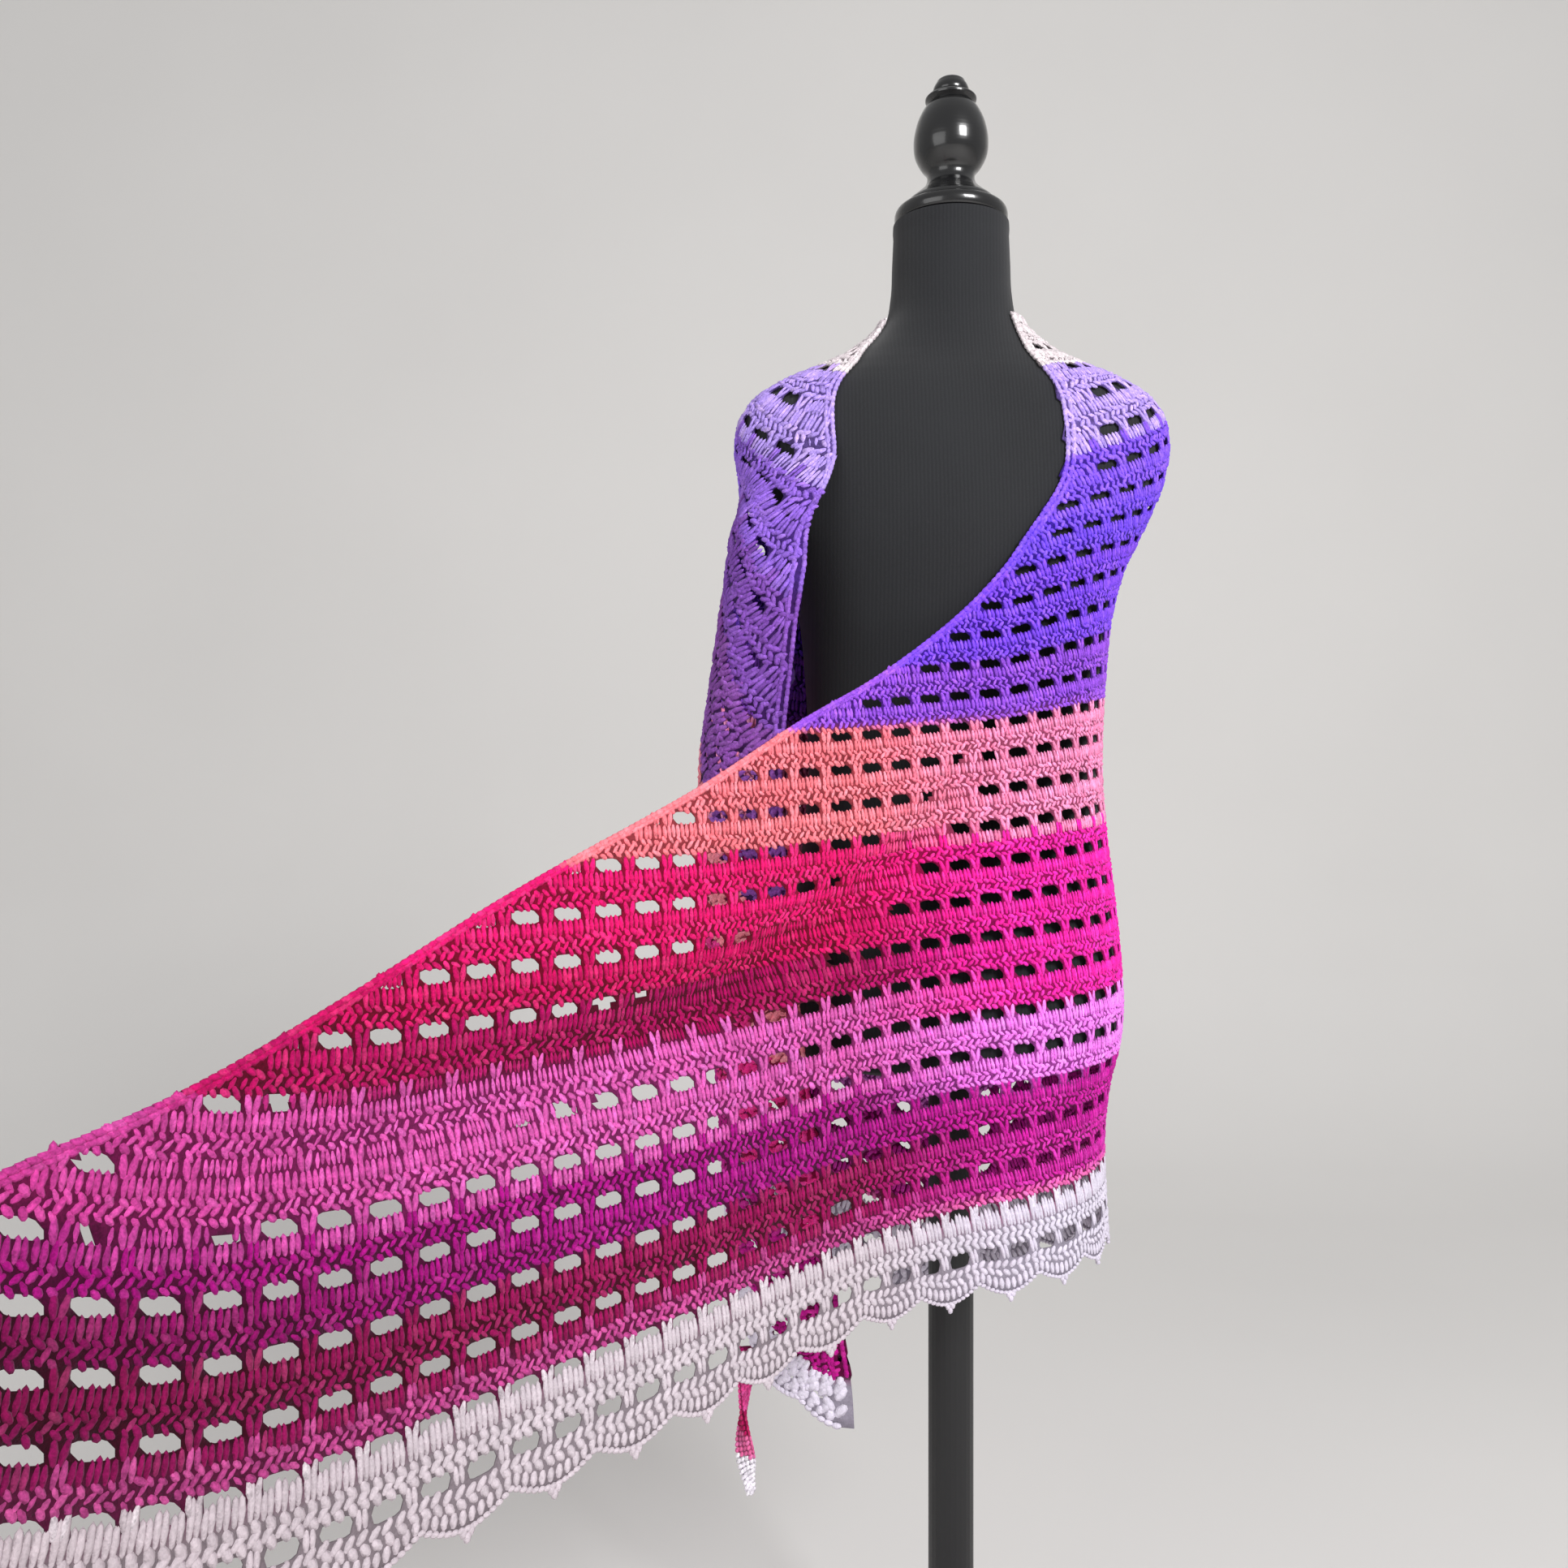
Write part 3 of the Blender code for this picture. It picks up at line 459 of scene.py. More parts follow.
# Dress form: one closed skin from the neck's top to its flat underside
formDetail = {
    "around": 160, "down": 150, "bandHeight": 1.3835, "bandProud": 0.0006, "roundShare": 0.975,
    "roundHeight": 0.005,
}


def movedGrid(across, down, placeOf):  # a flat grid of across by down faces, each corner moved by placeOf
    shape = bmesh.new()
    bmesh.ops.create_grid(shape, x_segments=across, y_segments=down, size=1.0)
    flat = np.array([v.co[:2] for v in shape.verts])
    u = np.round((flat[:, 0] + 1) / 2 * across).astype(int)
    v = np.round((flat[:, 1] + 1) / 2 * down).astype(int)
    for vert, spot in zip(shape.verts, placeOf(u, v)):
        vert.co = spot
    return shape


def formSpot(u, v):
    last = formDetail["down"]
    angle = 2 * math.pi * (u % formDetail["around"]) / formDetail["around"]
    length = np.clip((v - 1) / (last - 4), 0.0, 1.0) * formLength
    spot = formSkin(angle, length, False)
    band = (spot[:, 2] > formDetail["bandHeight"]) & (v > 0)
    swell = np.where(band, 1 + formDetail["bandProud"] / formShape["half"][0], 1.0)
    shrink = np.select([(v == 0) | (v == last), v == last - 1, v == last - 2],
                       [0.0, formShape["bottomShare"], formDetail["roundShare"]], 1.0)
    spot[:, :2] *= (swell * shrink)[:, None]
    spot[:, 2] = np.where(v >= last - 1, formShape["bottom"], spot[:, 2])
    spot[:, 2] = np.where(v == last - 2, formShape["bottom"] + formDetail["roundHeight"], spot[:, 2])
    return spot


shape = movedGrid(formDetail["around"], formDetail["down"], formSpot)
bmesh.ops.remove_doubles(shape, verts=shape.verts[:], dist=1e-6)
bmesh.ops.dissolve_degenerate(shape, edges=shape.edges[:], dist=1e-7)
bmesh.ops.recalc_face_normals(shape, faces=shape.faces[:])
torso = finishPiece("torsoJersey", shape, jersey, ("form_torso",))
torso.data.set_sharp_from_angle(angle=math.radians(50))
print("scene: dress form done")

# Colour of the yarn by row: one list for the form and the right side, one for the wing. The wing, tip and
# panel lists are partly the yarn's own colour change and partly painted shade: darker, deeper copies for
# where the wing's far end and the side panel lie in shade
yarnColours = {
    "near": ((0.0, "#E4D8DC"), (2.1, "#C0A4FA"), (4.6, "#8A5CF8"), (6.5, "#7E52F6"), (8.0, "#8650F4"),
             (11.0, "#9C56E4"), (13.0, "#FF94C2"), (16.6, "#FF2CB2"), (21.2, "#FF8AFA"), (23.3, "#C8209E"),
             (24.6, "#D02AA4"), (25.8, "#F070B8"), (26.35, "#DED6E6")),
    "wing": ((0.0, "#8650F4"), (11.0, "#9C56E4"), (12.9, "#FF8490"), (16.1, "#E81872"), (18.0, "#CC0E60"),
             (19.0, "#A8085A"), (20.3, "#DC60B4"), (22.6, "#A81084"), (24.2, "#981056"), (25.6, "#C04890"),
             (26.35, "#D2C6CE")),
    "tip": ((0.0, "#B81060"), (18.0, "#C01060"), (20.0, "#BC3488"), (22.0, "#980C70"), (23.2, "#740A42"),
            (24.8, "#7C0E4C"), (25.6, "#A43C78"), (26.35, "#BEB0B6")),
    "panel": ((0.0, "#E4D8DC"), (2.3, "#B89CF0"), (4.6, "#9468D8"), (6.5, "#8450B4"), (9.0, "#8A4EA8"),
              (13.4, "#F48C9C"), (16.6, "#E8308C"), (22.0, "#B41484"), (26.35, "#DED6E6")),
    "turns": (("wing", 14.0, 21.0), ("tip", 26.0, 42.0)), "panelTurns": (7.2, 9.0), "blend": 0.10,
}


def bandColour(bands, row):
    starts = np.array([start for start, _ in bands])
    shades = np.array([hexColour(text) for _, text in bands])
    colour = np.repeat(shades[:1], len(row), axis=0)
    for start, before, after in zip(starts[1:], shades, shades[1:]):
        share = ease(row, start - yarnColours["blend"] / 2, start + yarnColours["blend"] / 2)[:, None]
        colour = colour + (after - before) * share
    return colour


def yarnColourAt(side, along, row):
    colour = bandColour(yarnColours["near"], row)
    if side == "right":
        share = ease(along, *yarnColours["panelTurns"])[:, None]
        return colour * (1 - share) + bandColour(yarnColours["panel"], row) * share
    # Along the wing the wing list and then the tip list take over, bringing the yarn's colour change and
    # painted shade
    for name, start, end in yarnColours["turns"]:
        share = ease(along, start, end)[:, None]
        colour = colour * (1 - share) + bandColour(yarnColours[name], row) * share
    return colour


def paint(piece, colours):  # one colour for each vertex
    layer = piece.data.color_attributes.new("yarnColour", "FLOAT_COLOR", "POINT")
    layer.data.foreach_set("color", np.hstack([colours, np.ones((len(colours), 1))]).ravel())


# Openwork of the cloth, in shares of a stitch repeat and of a row
openwork = {
    "bar": 0.34, "eyelet": 0.30, "lean": 0.07, "shut": 0.62, "sheet": 0.0012, "keepOff": 0.35,
    "columns": (0.0, 0.17, 0.34, 0.50, 0.67, 0.84), "rows": (0.0, 0.15, 0.30, 0.65), "middle": (0.49, 0.85),
    "edgingRows": (26.35, 26.70, 27.10, 27.26, 27.42, 27.70, 28.0), "edgingEyelet": (27.10, 27.42),
    "scallop": 0.34, "scallopRows": (27.2, 28.0), "round": 0.055, "roundRow": 0.035, "foldNear": 0.030,
    "shutRight": {"along": (3.0, 8.0), "row": (9.0, 15.0)}, "openRight": 0.80, "half": 0.35,
    "shade": 0.27, "edgingShade": 0.42, "gapShadeDeepen": 1.4,  # painted shade: the sheet, the yarn deep between the stitches, is painted darker and deeper in colour
}


# 0 is shut and 1 is wide open. Eyelets shut in the left half's fold, and in a block of the right half's back
def eyeletOpening(side, along, row):
    if side == "right":
        (left, right), (top, bottom) = openwork["shutRight"]["along"], openwork["shutRight"]["row"]
        isShut = (along > left) & (along < right) & (row > top) & (row < bottom)
        return np.where(isShut, 0.0, openwork["openRight"])
    place = surfaceAt("left", along, row)
    centre = curveAt(trough["along"], trough["height"], along)
    away = np.abs(place[:, 2] - centre) / openwork["foldNear"]
    near = 1.0 - ease(away, 0.45, 1.35)
    folded = near * ease(along, 14.0, 17.5) * (1.0 - ease(along, 36.0, 40.0))
    return (1.0 - folded) * (0.70 + 0.30 * ease(row, 4.0, 8.0))


def scalloped(along, row):  # the last rows drawn out into scallops
    wave = np.abs(np.sin(math.pi * along / 2.0))
    return row + openwork["scallop"] * wave * ease(row, *openwork["scallopRows"])


def sheetLines(first, last, shares):
    lines = [p + s for p in range(math.floor(first), math.ceil(last) + 1) for s in shares]
    return np.array([first] + [line for line in lines if first + 0.05 < line < last - 0.05] + [last])


def isClose(first, second):
    return np.abs(first - second) < 0.01


def hasRoom(side, along, row, room):  # the row of stitches goes on for that much more
    return lastAlong(side, along + room, row) >= along + room - 1e-6


def clothSheet(name, side, rows, nodes):
    alongs = sheetLines(0.0, halfOf[side]["last"], openwork["columns"])
    isEdging = name.startswith("edging")
    material, slot = (edgingWool, "edging_yarn") if isEdging else (yarnWool, "yarn")
    wide = len(alongs)
    gridAlong, gridRow = np.meshgrid(alongs, rows)
    stop = lastAlong(side, gridAlong.ravel(), gridRow.ravel()).reshape(gridAlong.shape)
    eyeletRows = openwork["edgingEyelet"] if isEdging else (0.0, openwork["eyelet"])
    rowShare = gridRow if isEdging else gridRow % 1.0

    def clothSpot(u, v):
        along = stop[v, u]
        row = gridRow[v, u]
        if isEdging:
            row = scalloped(along, row)
        inGap = (u > 0) & (u < wide - 1) & (along < alongs[u] + 1e-6) & (v > 0) & (v < len(rows) - 1)
        share = rowShare[v, u]
        bend = np.interp(share, (0.0, eyeletRows[1], 1.0), (1.0, -0.6, 1.0))
        lean = 0.0 if isEdging else openwork["lean"] * bend
        # Corners of an eyelet move inwards, so that it is round-cornered
        sideways = np.where(isClose(alongs[u] % 1.0, openwork["bar"]), 1.0, 0.0)
        sideways = np.where(isClose(alongs[u], np.round(alongs[u])), -1.0, sideways)
        downwards = isClose(share, eyeletRows[0]) * 1.0 - isClose(share, eyeletRows[1])
        along = along + inGap * (lean + openwork["round"] * sideways * np.abs(downwards))
        row = row + inGap * openwork["roundRow"] * downwards * np.abs(sideways)
        return frameAt(side, along, row)[0]

    shape = movedGrid(wide - 1, len(rows) - 1, clothSpot)
    layers = [shape.verts.layers.float.new(label) for label in ("along", "row")]
    for layer, values in zip(layers, (stop, gridRow)):
        for vert, value in zip(shape.verts, values.ravel()):
            vert[layer] = value
    faceAlong = ((gridAlong[:-1, :-1] + gridAlong[1:, 1:]) / 2).ravel()
    faceRow = ((gridRow[:-1, :-1] + gridRow[1:, 1:]) / 2).ravel()
    opening = eyeletOpening(side, faceAlong, surfaceRow(side, faceAlong, faceRow))
    faceShare = faceRow if isEdging else faceRow % 1.0
    isGap = (faceAlong % 1.0 > openwork["bar"]) & (faceShare > eyeletRows[0]) & (faceShare < eyeletRows[1])
    inside = hasRoom(side, faceAlong, faceRow, openwork["keepOff"])
    low, high = openwork["middle"]
    isMiddle = (faceAlong % 1.0 > low) & (faceAlong % 1.0 < high)
    wideOpen = (opening > openwork["shut"]) | ((opening > openwork["half"]) & isMiddle)
    gone = isGap & inside & wideOpen & (faceRow > 0.9)
    bmesh.ops.delete(shape, geom=[f for f, away in zip(shape.faces, gone) if away], context="FACES")
    bmesh.ops.remove_doubles(shape, verts=shape.verts[:], dist=1e-5)
    bmesh.ops.dissolve_degenerate(shape, edges=shape.edges[:], dist=1e-6)
    if side == "left":
        bmesh.ops.reverse_faces(shape, faces=shape.faces[:])
    alongAt, rowAt = (np.array([v[layer] for v in shape.verts]) for layer in layers)
    piece = finishPiece(name, shape, material, nodes)
    # The sheet takes the yarn's own colour, darkened and deepened as painted shade between the stitches
    shade = openwork["edgingShade"] if isEdging else openwork["shade"]
    paint(piece, yarnColourAt(side, alongAt, rowAt) ** openwork["gapShadeDeepen"] * shade)
    wall = piece.modifiers.new("wall", "SOLIDIFY")
    wall.thickness = openwork["sheet"]
    wall.offset = 0.0
    return piece


clothRows = sheetLines(0.0, cloth["edgingStart"], openwork["rows"])
edgingRows = np.array(openwork["edgingRows"])
shawlLeft = clothSheet("shawlLeft", "left", clothRows,
                       ("shawl_back_left", "shawl_left_front", "shawl_left_wing"))
shawlRight = clothSheet("shawlRight", "right", clothRows, ("shawl_back_right", "shawl_right_panel"))
edgingLeft = clothSheet("edgingLeft", "left", edgingRows,
                        ("edging_back_left", "edging_left_front", "edging_left_wing"))
edgingRight = clothSheet("edgingRight", "right", edgingRows, ("edging_back_right", "edging_right_panel"))
print("scene: cloth sheets done")

# Stitches: strands of yarn that stand through the sheet, so that they show on both of its sides
stitch = {
    "perRepeat": 4, "postTop": 0.30, "postBottom": 0.60, "postReach": 0.05, "postWidth": 0.062,
    "postDepth": 0.0020, "postLean": 7.0, "postCentre": 0.185, "postStep": 0.25, "apart": 0.056,
    "barCentre": 0.17, "barApart": 0.075, "barHigh": 0.22, "barWide": 0.072, "rows": 27,
    "shutShares": (0.43, 0.53, 0.63, 0.73, 0.83, 0.93), "shutRow": 0.14, "shutHigh": 0.17, "shutWide": 0.060,
    "shutLean": 10.0, "shutSink": -0.0003, "lastPost": 26.25, "lastShut": 26.2, "lastKnot": 26.30,
    "knotRows": (0.66, 0.80, 0.94), "knotLean": (52.0, -38.0, 52.0), "knotsPerRepeat": 5, "knotLong": 0.125,
    "knotWide": 0.064, "knotDepth": 0.0020, "endRoom": {"left": (0.16, 0.04), "right": (0.28, 0.15)},
    "widest": 0.046, "seed": 7,
}
chance = np.random.default_rng(stitch["seed"])


def unitShape(bands):  # one grain of yarn, closed, as points and triangles
    shape = bmesh.new()
    bmesh.ops.create_uvsphere(shape, u_segments=5, v_segments=bands, radius=1.0)
    bmesh.ops.triangulate(shape, faces=shape.faces[:])
    shape.verts.index_update()
    points = np.array([v.co[:] for v in shape.verts])
    faces = np.array([[v.index for v in f.verts] for f in shape.faces])
    shape.free()
    points[:, :2] /= np.hypot(points[:, 0], points[:, 1]).max()
    return points, faces


yarnGrain = unitShape(4)
backGrain = unitShape(3)  # simpler, since the back has as many stitches as the front


def placedBits(place, longWay, wideWay, outward, size, colour, grain):  # a grain of yarn at each place
    points, faces = grain
    number = len(place)
    spots = place[:, None, :]
    for way, reach, axis in zip((longWay, wideWay, outward), size, (2, 0, 1)):
        reach = np.reshape(reach * np.ones(number), (-1, 1, 1))
        spots = spots + way[:, None, :] * reach * points[None, :, axis:axis + 1]
    if np.sum(np.cross(wideWay[:1], outward[:1]) * longWay[:1]) < 0:
        faces = faces[:, ::-1]
    corners = faces[None, :, :] + (np.arange(number) * len(points))[:, None, None]
    return spots.reshape(-1, 3), corners.reshape(-1, 3), np.repeat(colour, len(points), axis=0)


def yarnBits(side, along, row, size, lean, lift, colour, grain=yarnGrain):  # grains on the cloth
    place, stepAlong, stepDown, outward = frameAt(side, along, row, lift)
    across = unit(stepAlong)
    down = unit(stepDown - across * np.sum(stepDown * across, axis=1, keepdims=True))
    turned = np.radians(np.asarray(lean) * np.ones(len(along)))[:, None]
    longWay = across * np.sin(turned) - down * np.cos(turned)
    wideWay = across * np.cos(turned) + down * np.sin(turned)
    return placedBits(place, longWay, wideWay, outward, size, colour, grain)


def yarnPiece(name, groups, material=yarnWool):  # the groups joined into one piece
    spots, corners, shades = zip(*groups)
    offsets = np.cumsum([0] + [len(places) for places in spots])
    corners = np.concatenate([faces + start for faces, start in zip(corners, offsets)])
    mesh = bpy.data.meshes.new(name)
    mesh.from_pydata(np.concatenate(spots), [], corners)
    piece = finishMesh(name, mesh, material)
    paint(piece, np.concatenate(shades))
    print("scene:", name, len(corners), "triangles")
    return piece


def bitSizes(side, along, row):  # width of a repeat and height of a row there
    _, stepAlong, stepDown, _ = frameAt(side, along, row)
    wide = np.minimum(np.linalg.norm(stepAlong, axis=1), stitch["widest"])
    return wide, np.linalg.norm(stepDown, axis=1)


def jitter(number, amount):  # evenly random, about 0
    return (chance.random(number) - 0.5) * amount


def spread(size, amount):  # evenly random, about 1
    return 1.0 + jitter(size, 2 * amount)


def keepOn(side, along, row, fromAlong, toAlong):
    return hasRoom(side, along, row, 0.10) & (along >= fromAlong) & (along < toAlong)


def keepWhole(side, along, row, fromAlong, toAlong):  # for posts: both ends stay off the edge too
    keep = keepOn(side, along, row, fromAlong, toAlong)
    reach, room = stitch["endRoom"][side]
    for end in (-reach, reach):
        keep = keep & hasRoom(side, along, row + end, room)
    return keep


def marlAndHighlights(colour, amount):  # strands differ a little, as the plies of the yarn do; about a quarter are also mixed towards a pale tint as painted highlights
    number = len(colour)
    light = spread((number, 1), amount)
    # Painted highlights: some strands are mixed towards a pale tint of their own colour
    pale = np.where(chance.random((number, 1)) < 0.26, 0.20, 0.0)
    return np.clip(colour * light * (1 - pale) + pale * np.clip(colour * 1.9 + 0.08, 0, 1), 0.0, 1.0)


def settled(side, along, row, keep):  # the stitches that are kept, and the sizes of repeat and row there
    along, row = along[keep], row[keep]
    return along, row, *bitSizes(side, along, row)


def tallPosts(side, span, pitch, row, grain):  # in pairs; the first pair of a repeat goes on up the bar
    posts = []
    depth = stitch["postDepth"]
    middle = (stitch["postTop"] + stitch["postBottom"]) / 2
    half = (stitch["postBottom"] - stitch["postTop"]) / 2 + stitch["postReach"]
    for k in range(stitch["perRepeat"]):
        isBar = k == 0
        centre = stitch["postCentre"] + stitch["postStep"] * k
        centre = stitch["barCentre"] if isBar else centre
        for strand in (-1, 1):
            along = pitch + centre + strand * stitch["apart"] + jitter(len(pitch), 0.02)
            at = row + middle + jitter(len(row), 0.04)
            keep = keepWhole(side, along, at, *span) & (at < stitch["lastPost"])
            along, at, wide, high = settled(side, along, at, keep)
            shade = marlAndHighlights(yarnColourAt(side, along, at + (0.22 if isBar else 0.0)), 0.16)
            size = (high * half * spread(len(along), 0.08), wide * stitch["postWidth"],
                    depth * spread(len(along), 0.15))
            turn = stitch["postLean"] + jitter(len(along), 9.0)
            posts.append(yarnBits(side, along, at, size, turn, 0.0, shade, grain))
            if not isBar:
                continue
            along = pitch + centre + strand * stitch["barApart"]
            at = row + openwork["eyelet"] / 2
            keep = keepOn(side, along, at, *span) & (at < stitch["lastPost"])
            along, at, wide, high = settled(side, along, at, keep)
            size = (high * stitch["barHigh"], wide * stitch["barWide"], depth)
            shade = marlAndHighlights(yarnColourAt(side, along, at + 0.25), 0.14)
            posts.append(yarnBits(side, along, at, size, 12.0 * strand + 6.0, 0.0, shade, grain))
    return posts


def shortPosts(side, span, pitch, row, grain):  # they close the eyelets that are shut
    posts = []
    opening = eyeletOpening(side, pitch + 0.68, surfaceRow(side, pitch + 0.68, row + 0.15))
    isWhole = (opening <= openwork["half"]) | (row < 0.5) | ~hasRoom(side, pitch, row + 0.15, 1.35)
    low, high = openwork["middle"]
    for share in stitch["shutShares"]:
        isShut = isWhole | ((opening <= openwork["shut"]) & (not low < share < high))
        along, at = pitch + share, row + stitch["shutRow"] + jitter(len(row), 0.05)
        keep = keepOn(side, along, at, *span) & isShut & (at < stitch["lastShut"])
        if not keep.any():
            continue
        along, at, wide, tall = settled(side, along, at, keep)
        shade = marlAndHighlights(yarnColourAt(side, along, at), 0.14)
        size = (tall * stitch["shutHigh"] * spread(len(along), 0.12), wide * stitch["shutWide"],
                stitch["postDepth"])
        turn = stitch["shutLean"] + jitter(len(along), 14.0)
        posts.append(yarnBits(side, along, at, size, turn, stitch["shutSink"], shade, grain))
    return posts


def slantedKnots(side, span, pitch, row, grain):
    knots = []
    count = stitch["knotsPerRepeat"]
    for number, (knotRow, lean) in enumerate(zip(stitch["knotRows"], stitch["knotLean"])):
        for k in range(count):
            along = pitch + (k + 0.2 + 0.5 * (number % 2)) / count + jitter(len(pitch), 0.06)
            at = row + knotRow + jitter(len(row), 0.07)
            keep = keepOn(side, along, at, *span) & (at < stitch["lastKnot"])
            along, at, wide, high = settled(side, along, at, keep)
            shade = marlAndHighlights(yarnColourAt(side, along, at), 0.16)
            mean = (wide + high) / 2
            size = (stitch["knotLong"] * mean * spread(len(along), 0.18),
                    stitch["knotWide"] * mean * spread(len(along), 0.15),
                    stitch["knotDepth"] * spread(len(along), 0.15))
            turn = lean + jitter(len(along), 30)
            raised = jitter(len(along), 0.0008)
            knots.append(yarnBits(side, along, at, size, turn, raised, shade, grain))
    return knots


stretches = {  # half, and the first and last repeat
    "LeftBack": ("left", 0.0, 9.0), "LeftFront": ("left", 9.0, 15.0), "LeftWing": ("left", 15.0, 30.0),
    "LeftTip": ("left", 30.0, 49.0), "RightBack": ("right", 0.0, 8.2), "RightPanel": ("right", 8.2, 13.3),
}
clothStitches = {"left": [], "right": []}
for stretchName, (side, *span) in stretches.items():
    grain = backGrain if stretchName.endswith("Back") else yarnGrain
    pitches = np.arange(math.floor(span[0]), math.ceil(span[1])) * 1.0
    pitch, row = (line.ravel() for line in np.meshgrid(pitches, np.arange(stitch["rows"]) * 1.0))
    here = (side, span, pitch, row, grain)
    posts = tallPosts(*here) + shortPosts(*here)
    knots = slantedKnots(*here)
    clothStitches[side] += [yarnPiece("posts" + stretchName, posts), yarnPiece("knots" + stretchName, knots)]
print("scene: stitches done")

# Edging: tall posts in pairs, rows of knots, eyelets, and scallops that end in points
edging = {
    "postCentre": (0.16, 0.435, 0.685, 0.935), "postTop": (26.02, 26.22, 26.16, 26.24), "postBottom": 26.66,
    "postReach": 0.05, "postWide": 0.074, "apart": 0.056, "knotRows": (26.76, 26.90, 27.03, 27.50, 27.63),
    "knotLeans": (38.0, 142.0), "barRows": (27.10, 27.42), "barCentre": 0.185, "barApart": 0.060,
    "barReach": 0.06, "barWide": 0.072, "fanRow": 27.80, "fans": 5, "chainStep": 0.14, "chainRow": 27.98,
    "pointRows": (28.04, 28.15), "pointShifts": ((-0.08, 0.08), (0.0,)), "colourRow": 27.5,
}


def edgingStitches(side, toAlong):
    groups = []
    pitch = np.arange(0, math.ceil(toAlong)) * 1.0

    def add(along, row, size, lean, isTall=False):  # a tall one is measured by its rows, not by its repeat
        row = np.full(len(along), row) if np.isscalar(row) else row
        keep = keepOn(side, along, np.minimum(row, cloth["rows"]), 0.0, toAlong)
        if not keep.any():
            return
        along = along[keep]
        row = scalloped(along, row[keep])
        wide, high = bitSizes(side, along, row)
        sizes = (size[0] * (high if isTall else wide), size[1] * wide, size[2] * spread(len(along), 0.12))
        shade = yarnColourAt(side, along, np.full(len(along), edging["colourRow"]))
        shade = np.clip(shade * spread((len(along), 1), 0.07), 0.0, 1.0)
        groups.append(yarnBits(side, along, row, sizes, lean, 0.0, shade))

    for centre, top in zip(edging["postCentre"], edging["postTop"]):
        middle, half = (top + edging["postBottom"]) / 2, (edging["postBottom"] - top) / 2
        size = (half + edging["postReach"], edging["postWide"], 0.0021)
        for strand in (-1, 1):
            along = pitch + centre + strand * edging["apart"]
            add(along, middle + jitter(len(pitch), 0.06), size, 6.0, True)
    for number, knotRow in enumerate(edging["knotRows"]):
        for k in range(4):
            along = pitch + (k + 0.5) / 4 + 0.05 * (number % 2) + jitter(len(pitch), 0.03)
            row = knotRow + jitter(len(pitch), 0.04)
            lean = edging["knotLeans"][number % 2] + jitter(len(pitch), 16)[0]
            add(along, row, (0.164, 0.096, 0.0021), lean)
    low, high = edging["barRows"]
    size = ((high - low) / 2 + edging["barReach"], edging["barWide"], 0.0020)
    for strand in (-1, 1):
        along = pitch + edging["barCentre"] + strand * edging["barApart"]
        add(along, (low + high) / 2, size, 8.0, True)
    for k in range(edging["fans"]):  # strands that fan out in each scallop
        add(pitch + (k + 0.5) / edging["fans"], edging["fanRow"], (0.17, 0.095, 0.0020), 0.0, True)
    chain = np.arange(0.06, toAlong, edging["chainStep"])
    add(chain, edging["chainRow"], (0.094, 0.066, 0.0023), 90.0)
    for row, shifts in zip(edging["pointRows"], edging["pointShifts"]):
        for shift in shifts:
            add(np.arange(1.0, toAlong, 2.0) + shift, row, (0.112, 0.090, 0.0022), 0.0)
    return groups


for side, toAlong in (("left", 48.4), ("right", 13.2)):
    name = "edgingStitches" + side.capitalize()
    yarnPiece(name, edgingStitches(side, toAlong), edgingWool)

# Border: a chain of yarn round the shawl's front edges and neck
border = {
    "bit": (0.0040, 0.0023, 0.0024), "step": 0.0052, "insets": (0.03, 0.20), "rows": (0.2, 26.2),
    "neckRow": 0.05, "neckStep": 0.24, "neckEnd": {"left": 11.6, "right": 9.8}, "linePoints": 4000,
}


def edgeChain(side):
    edge = halfOf[side]["edge"]
    length, width, depth = border["bit"]
    bits = []
    for inset in border["insets"]:
        line = np.linspace(*border["rows"], border["linePoints"])
        spots = surfaceAt(side, curveAt(edge["row"], edge["along"], line) - inset, line)
        run = np.concatenate([[0.0], np.cumsum(np.linalg.norm(np.diff(spots, axis=0), axis=1))])
        line = np.interp(np.arange(0.0, run[-1], border["step"]), run, line)
        along = curveAt(edge["row"], edge["along"], line) - inset
        row = line.copy()
        for _ in range(12):  # the row of stitches that lies on that row of the surface
            row = line - (surfaceRow(side, along, row) - row)
        place, stepAlong, stepDown, _ = frameAt(side, along, row)
        ahead = unit(np.gradient(place, axis=0))
        across, down = unit(stepAlong), unit(stepDown)
        lean = np.degrees(np.arctan2(np.sum(ahead * across, axis=1), -np.sum(ahead * down, axis=1)))
        shade = marlAndHighlights(yarnColourAt(side, along, row), 0.12)
        size = (length * spread(len(along), 0.1), width, depth)
        bits.append(yarnBits(side, along, row, size, lean, 0.0, shade))
    return yarnPiece("border" + side.capitalize(), bits)


def neckChain(side):  # the same chain along the top row
    along = np.arange(0.0, border["neckEnd"][side], border["neckStep"])
    row = np.full(len(along), border["neckRow"])
    shade = marlAndHighlights(yarnColourAt(side, along, row), 0.08)
    bits = yarnBits(side, along, row, border["bit"], 90.0, 0.0, shade)
    return yarnPiece("neckChain" + side.capitalize(), [bits])


for makeChain in (edgeChain, neckChain):
    for side, pieces in clothStitches.items():
        pieces.append(makeChain(side))
print("scene: edging and borders done")

# Tail: the narrow end of the right wing, a flat twist of stitches that ends in the white of the edging
tail = {
    "along": 10.3, "row": 28.3, "drop": 0.0042, "length": 0.120, "width": 0.020, "thick": 0.006,
    "twist": 200.0, "sway": 0.006, "around": 16, "down": 60, "bits": (0.0030, 0.0019, 0.0013), "step": 0.034,
    "across": (-0.75, -0.25, 0.25, 0.75), "lift": 0.0017, "lean": 35.0, "shade": 0.4,
    "colours": ((0.0, "#C01C74"), (0.22, "#E84C98"), (0.42, "#B01458"), (0.58, "#E86CA4"),
                (0.74, "#F0EAF4")),
}
tailTop = clothPoint("right", np.array([tail["along"]]), np.array([tail["row"]]))[0]
tailTop = tailTop - [0, 0, tail["drop"]]


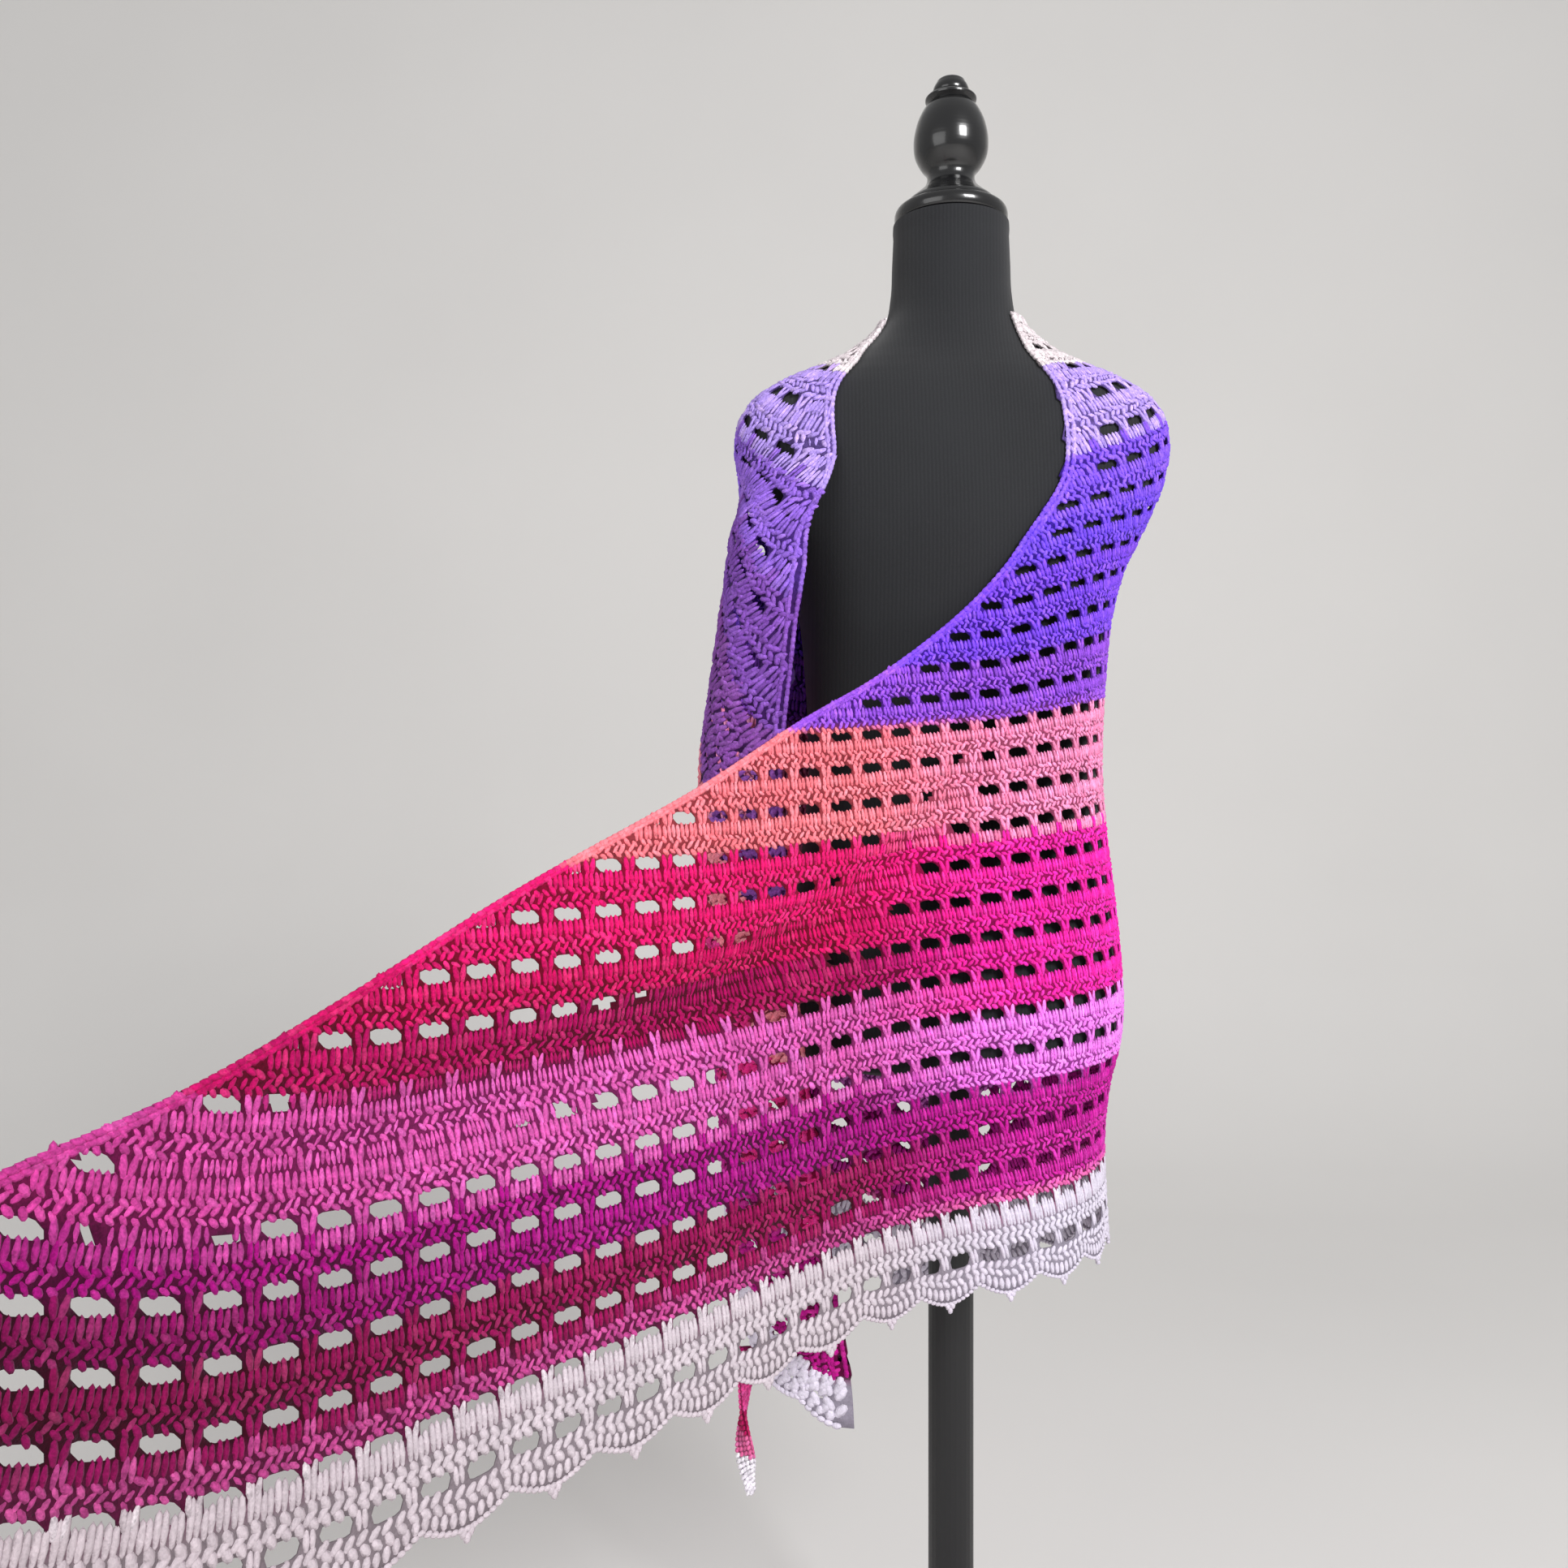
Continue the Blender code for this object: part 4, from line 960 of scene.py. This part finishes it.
def tailFrame(share):  # middle of the twist, the directions of its width and thickness, and half its width
    turn = np.radians(tail["twist"]) * share
    zero = np.zeros_like(share)
    sway = -tail["sway"] * np.sin(math.pi * share)
    middle = tailTop + np.stack([sway, zero, -tail["length"] * share], axis=1)
    narrowed = np.minimum(1.0, 0.35 + 3.0 * (1 - share))
    width = tail["width"] / 2 * narrowed * (0.85 + 0.15 * np.cos(3 * turn))
    wideWay = np.stack([np.cos(turn), np.sin(turn), zero], axis=1)
    return middle, wideWay, np.stack([-wideWay[:, 1], wideWay[:, 0], wideWay[:, 2]], axis=1), width


def tailColour(share):
    bands = tail["colours"]
    shades = np.array([hexColour(text) for _, text in bands])
    return shades[np.clip(np.searchsorted([start for start, _ in bands], share, side="right") - 1, 0, None)]


def tailSpot(u, v):  # core of the twist, as a closed skin
    last = tail["down"]
    middle, wideWay, through, width = tailFrame(np.clip((v - 1) / (last - 2), 0.0, 1.0))
    turn = 2 * math.pi * (u % tail["around"]) / tail["around"]
    side = np.cos(turn)[:, None] * wideWay * (width * 0.86)[:, None]
    out = side + np.sin(turn)[:, None] * through * tail["thick"] * 0.36
    return middle + out * ((v > 0) & (v < last))[:, None]


shape = movedGrid(tail["around"], tail["down"], tailSpot)
bmesh.ops.remove_doubles(shape, verts=shape.verts[:], dist=1e-6)
bmesh.ops.recalc_face_normals(shape, faces=shape.faces[:])
shares = np.array([(tailTop[2] - v.co.z) / tail["length"] for v in shape.verts])
tailCore = finishPiece("tailCore", shape, yarnWool, ("shawl_tail",))
# The core is painted darker than its yarn, as painted shade between the stitches that cover it
paint(tailCore, tailColour(shares) * tail["shade"])

tailBits = []
for face in (-1.0, 1.0):
    for across in tail["across"]:
        isShifted = across in (-0.25, 0.75)
        share = np.arange(0.02, 0.985, tail["step"]) + tail["step"] / 2 * isShifted
        middle, wideWay, through, width = tailFrame(share)
        through = through * face
        centre = middle + wideWay * (width * across)[:, None] + through * tail["lift"]
        down = np.repeat([[0.0, 0.0, -1.0]], len(share), axis=0)
        lean = math.radians(tail["lean"] * face)
        longWay = wideWay * math.sin(lean) + down * math.cos(lean)
        crossWay = wideWay * math.cos(lean) - down * math.sin(lean)
        shade = marlAndHighlights(tailColour(share), 0.12)
        tailBits.append(placedBits(centre, longWay, crossWay, through, tail["bits"], shade, yarnGrain))
yarnPiece("tailStitches", tailBits)
print("scene: tail done")

# Pale floor that curves up into a backdrop, and large soft lamps
studio = {
    "tones": ("#E2E0DE", "#EAE8E6"), "front": -3.5, "back": 2.6, "half": 5.0, "rise": 4.2, "bend": 0.9,
    "flatShare": 0.55, "bendShare": 0.25, "across": 4, "along": 24,
}
paperLook = {"Roughness": 0.9, "Specular IOR Level": 0.2}
paper, tree, shader, place = startMaterial("paleBackdropPaper", paperLook)
addTones(tree, shader, addNoise(tree, place, 1.3, 3.0), *studio["tones"])


def sweepSpot(u, v):
    bend = studio["bend"]
    t = v / studio["along"]
    x = (u * 2 / studio["across"] - 1.0) * studio["half"]
    flat = studio["front"] + (studio["back"] - studio["front"] - bend) * t / studio["flatShare"]
    turn = np.clip((t - studio["flatShare"]) / studio["bendShare"], 0.0, 1.0) * math.pi / 2
    y = np.where(t < studio["flatShare"], flat, studio["back"] - bend + bend * np.sin(turn))
    wallStart = studio["flatShare"] + studio["bendShare"]
    wall = np.clip((t - wallStart) / (1.0 - wallStart), 0.0, 1.0) * (studio["rise"] - bend)
    return np.stack([x, y, bend * (1 - np.cos(turn)) + wall], axis=1)


shape = movedGrid(studio["across"], studio["along"], sweepSpot)
sweep = smoothPiece("studioSweep", shapeMesh("studioSweep", shape), paper)

lamps = (
    {"name": "keyLamp", "place": (1.5, -2.6, 2.5), "size": 1.1, "power": 105.0},
    {"name": "fillLamp", "place": (-2.2, -2.4, 1.5), "size": 2.2, "power": 26.0},
)
for lamp in lamps:
    data = bpy.data.lights.new(lamp["name"], "AREA")
    data.size = lamp["size"]
    data.energy = lamp["power"]
    light = newObject(lamp["name"], data)
    light.location = lamp["place"]
    aim = np.array([0.0, 0.0, 0.95]) - np.array(lamp["place"])
    tilt = math.acos(-aim[2] / np.linalg.norm(aim))
    light.rotation_euler = (tilt, 0.0, math.atan2(aim[1], aim[0]) - math.pi / 2)
world = bpy.data.worlds.new("studioAir")
world.use_nodes = True
air = world.node_tree.nodes["Background"].inputs
air["Color"].default_value = (1.0, 1.0, 1.0, 1.0)
air["Strength"].default_value = 0.42
scene.world = world

lens = bpy.data.cameras.new("photoCamera")
lens.lens = view["lens"]
lens.sensor_width = view["sensor"]
lens.clip_start = 0.02
camera = newObject("photoCamera", lens)
camera.location = view["place"]
camera.rotation_euler = (math.radians(90), 0.0, 0.0)
scene.camera = camera
scene.view_settings.view_transform = "Standard"
print("scene: studio done")

bpy.context.view_layer.update()
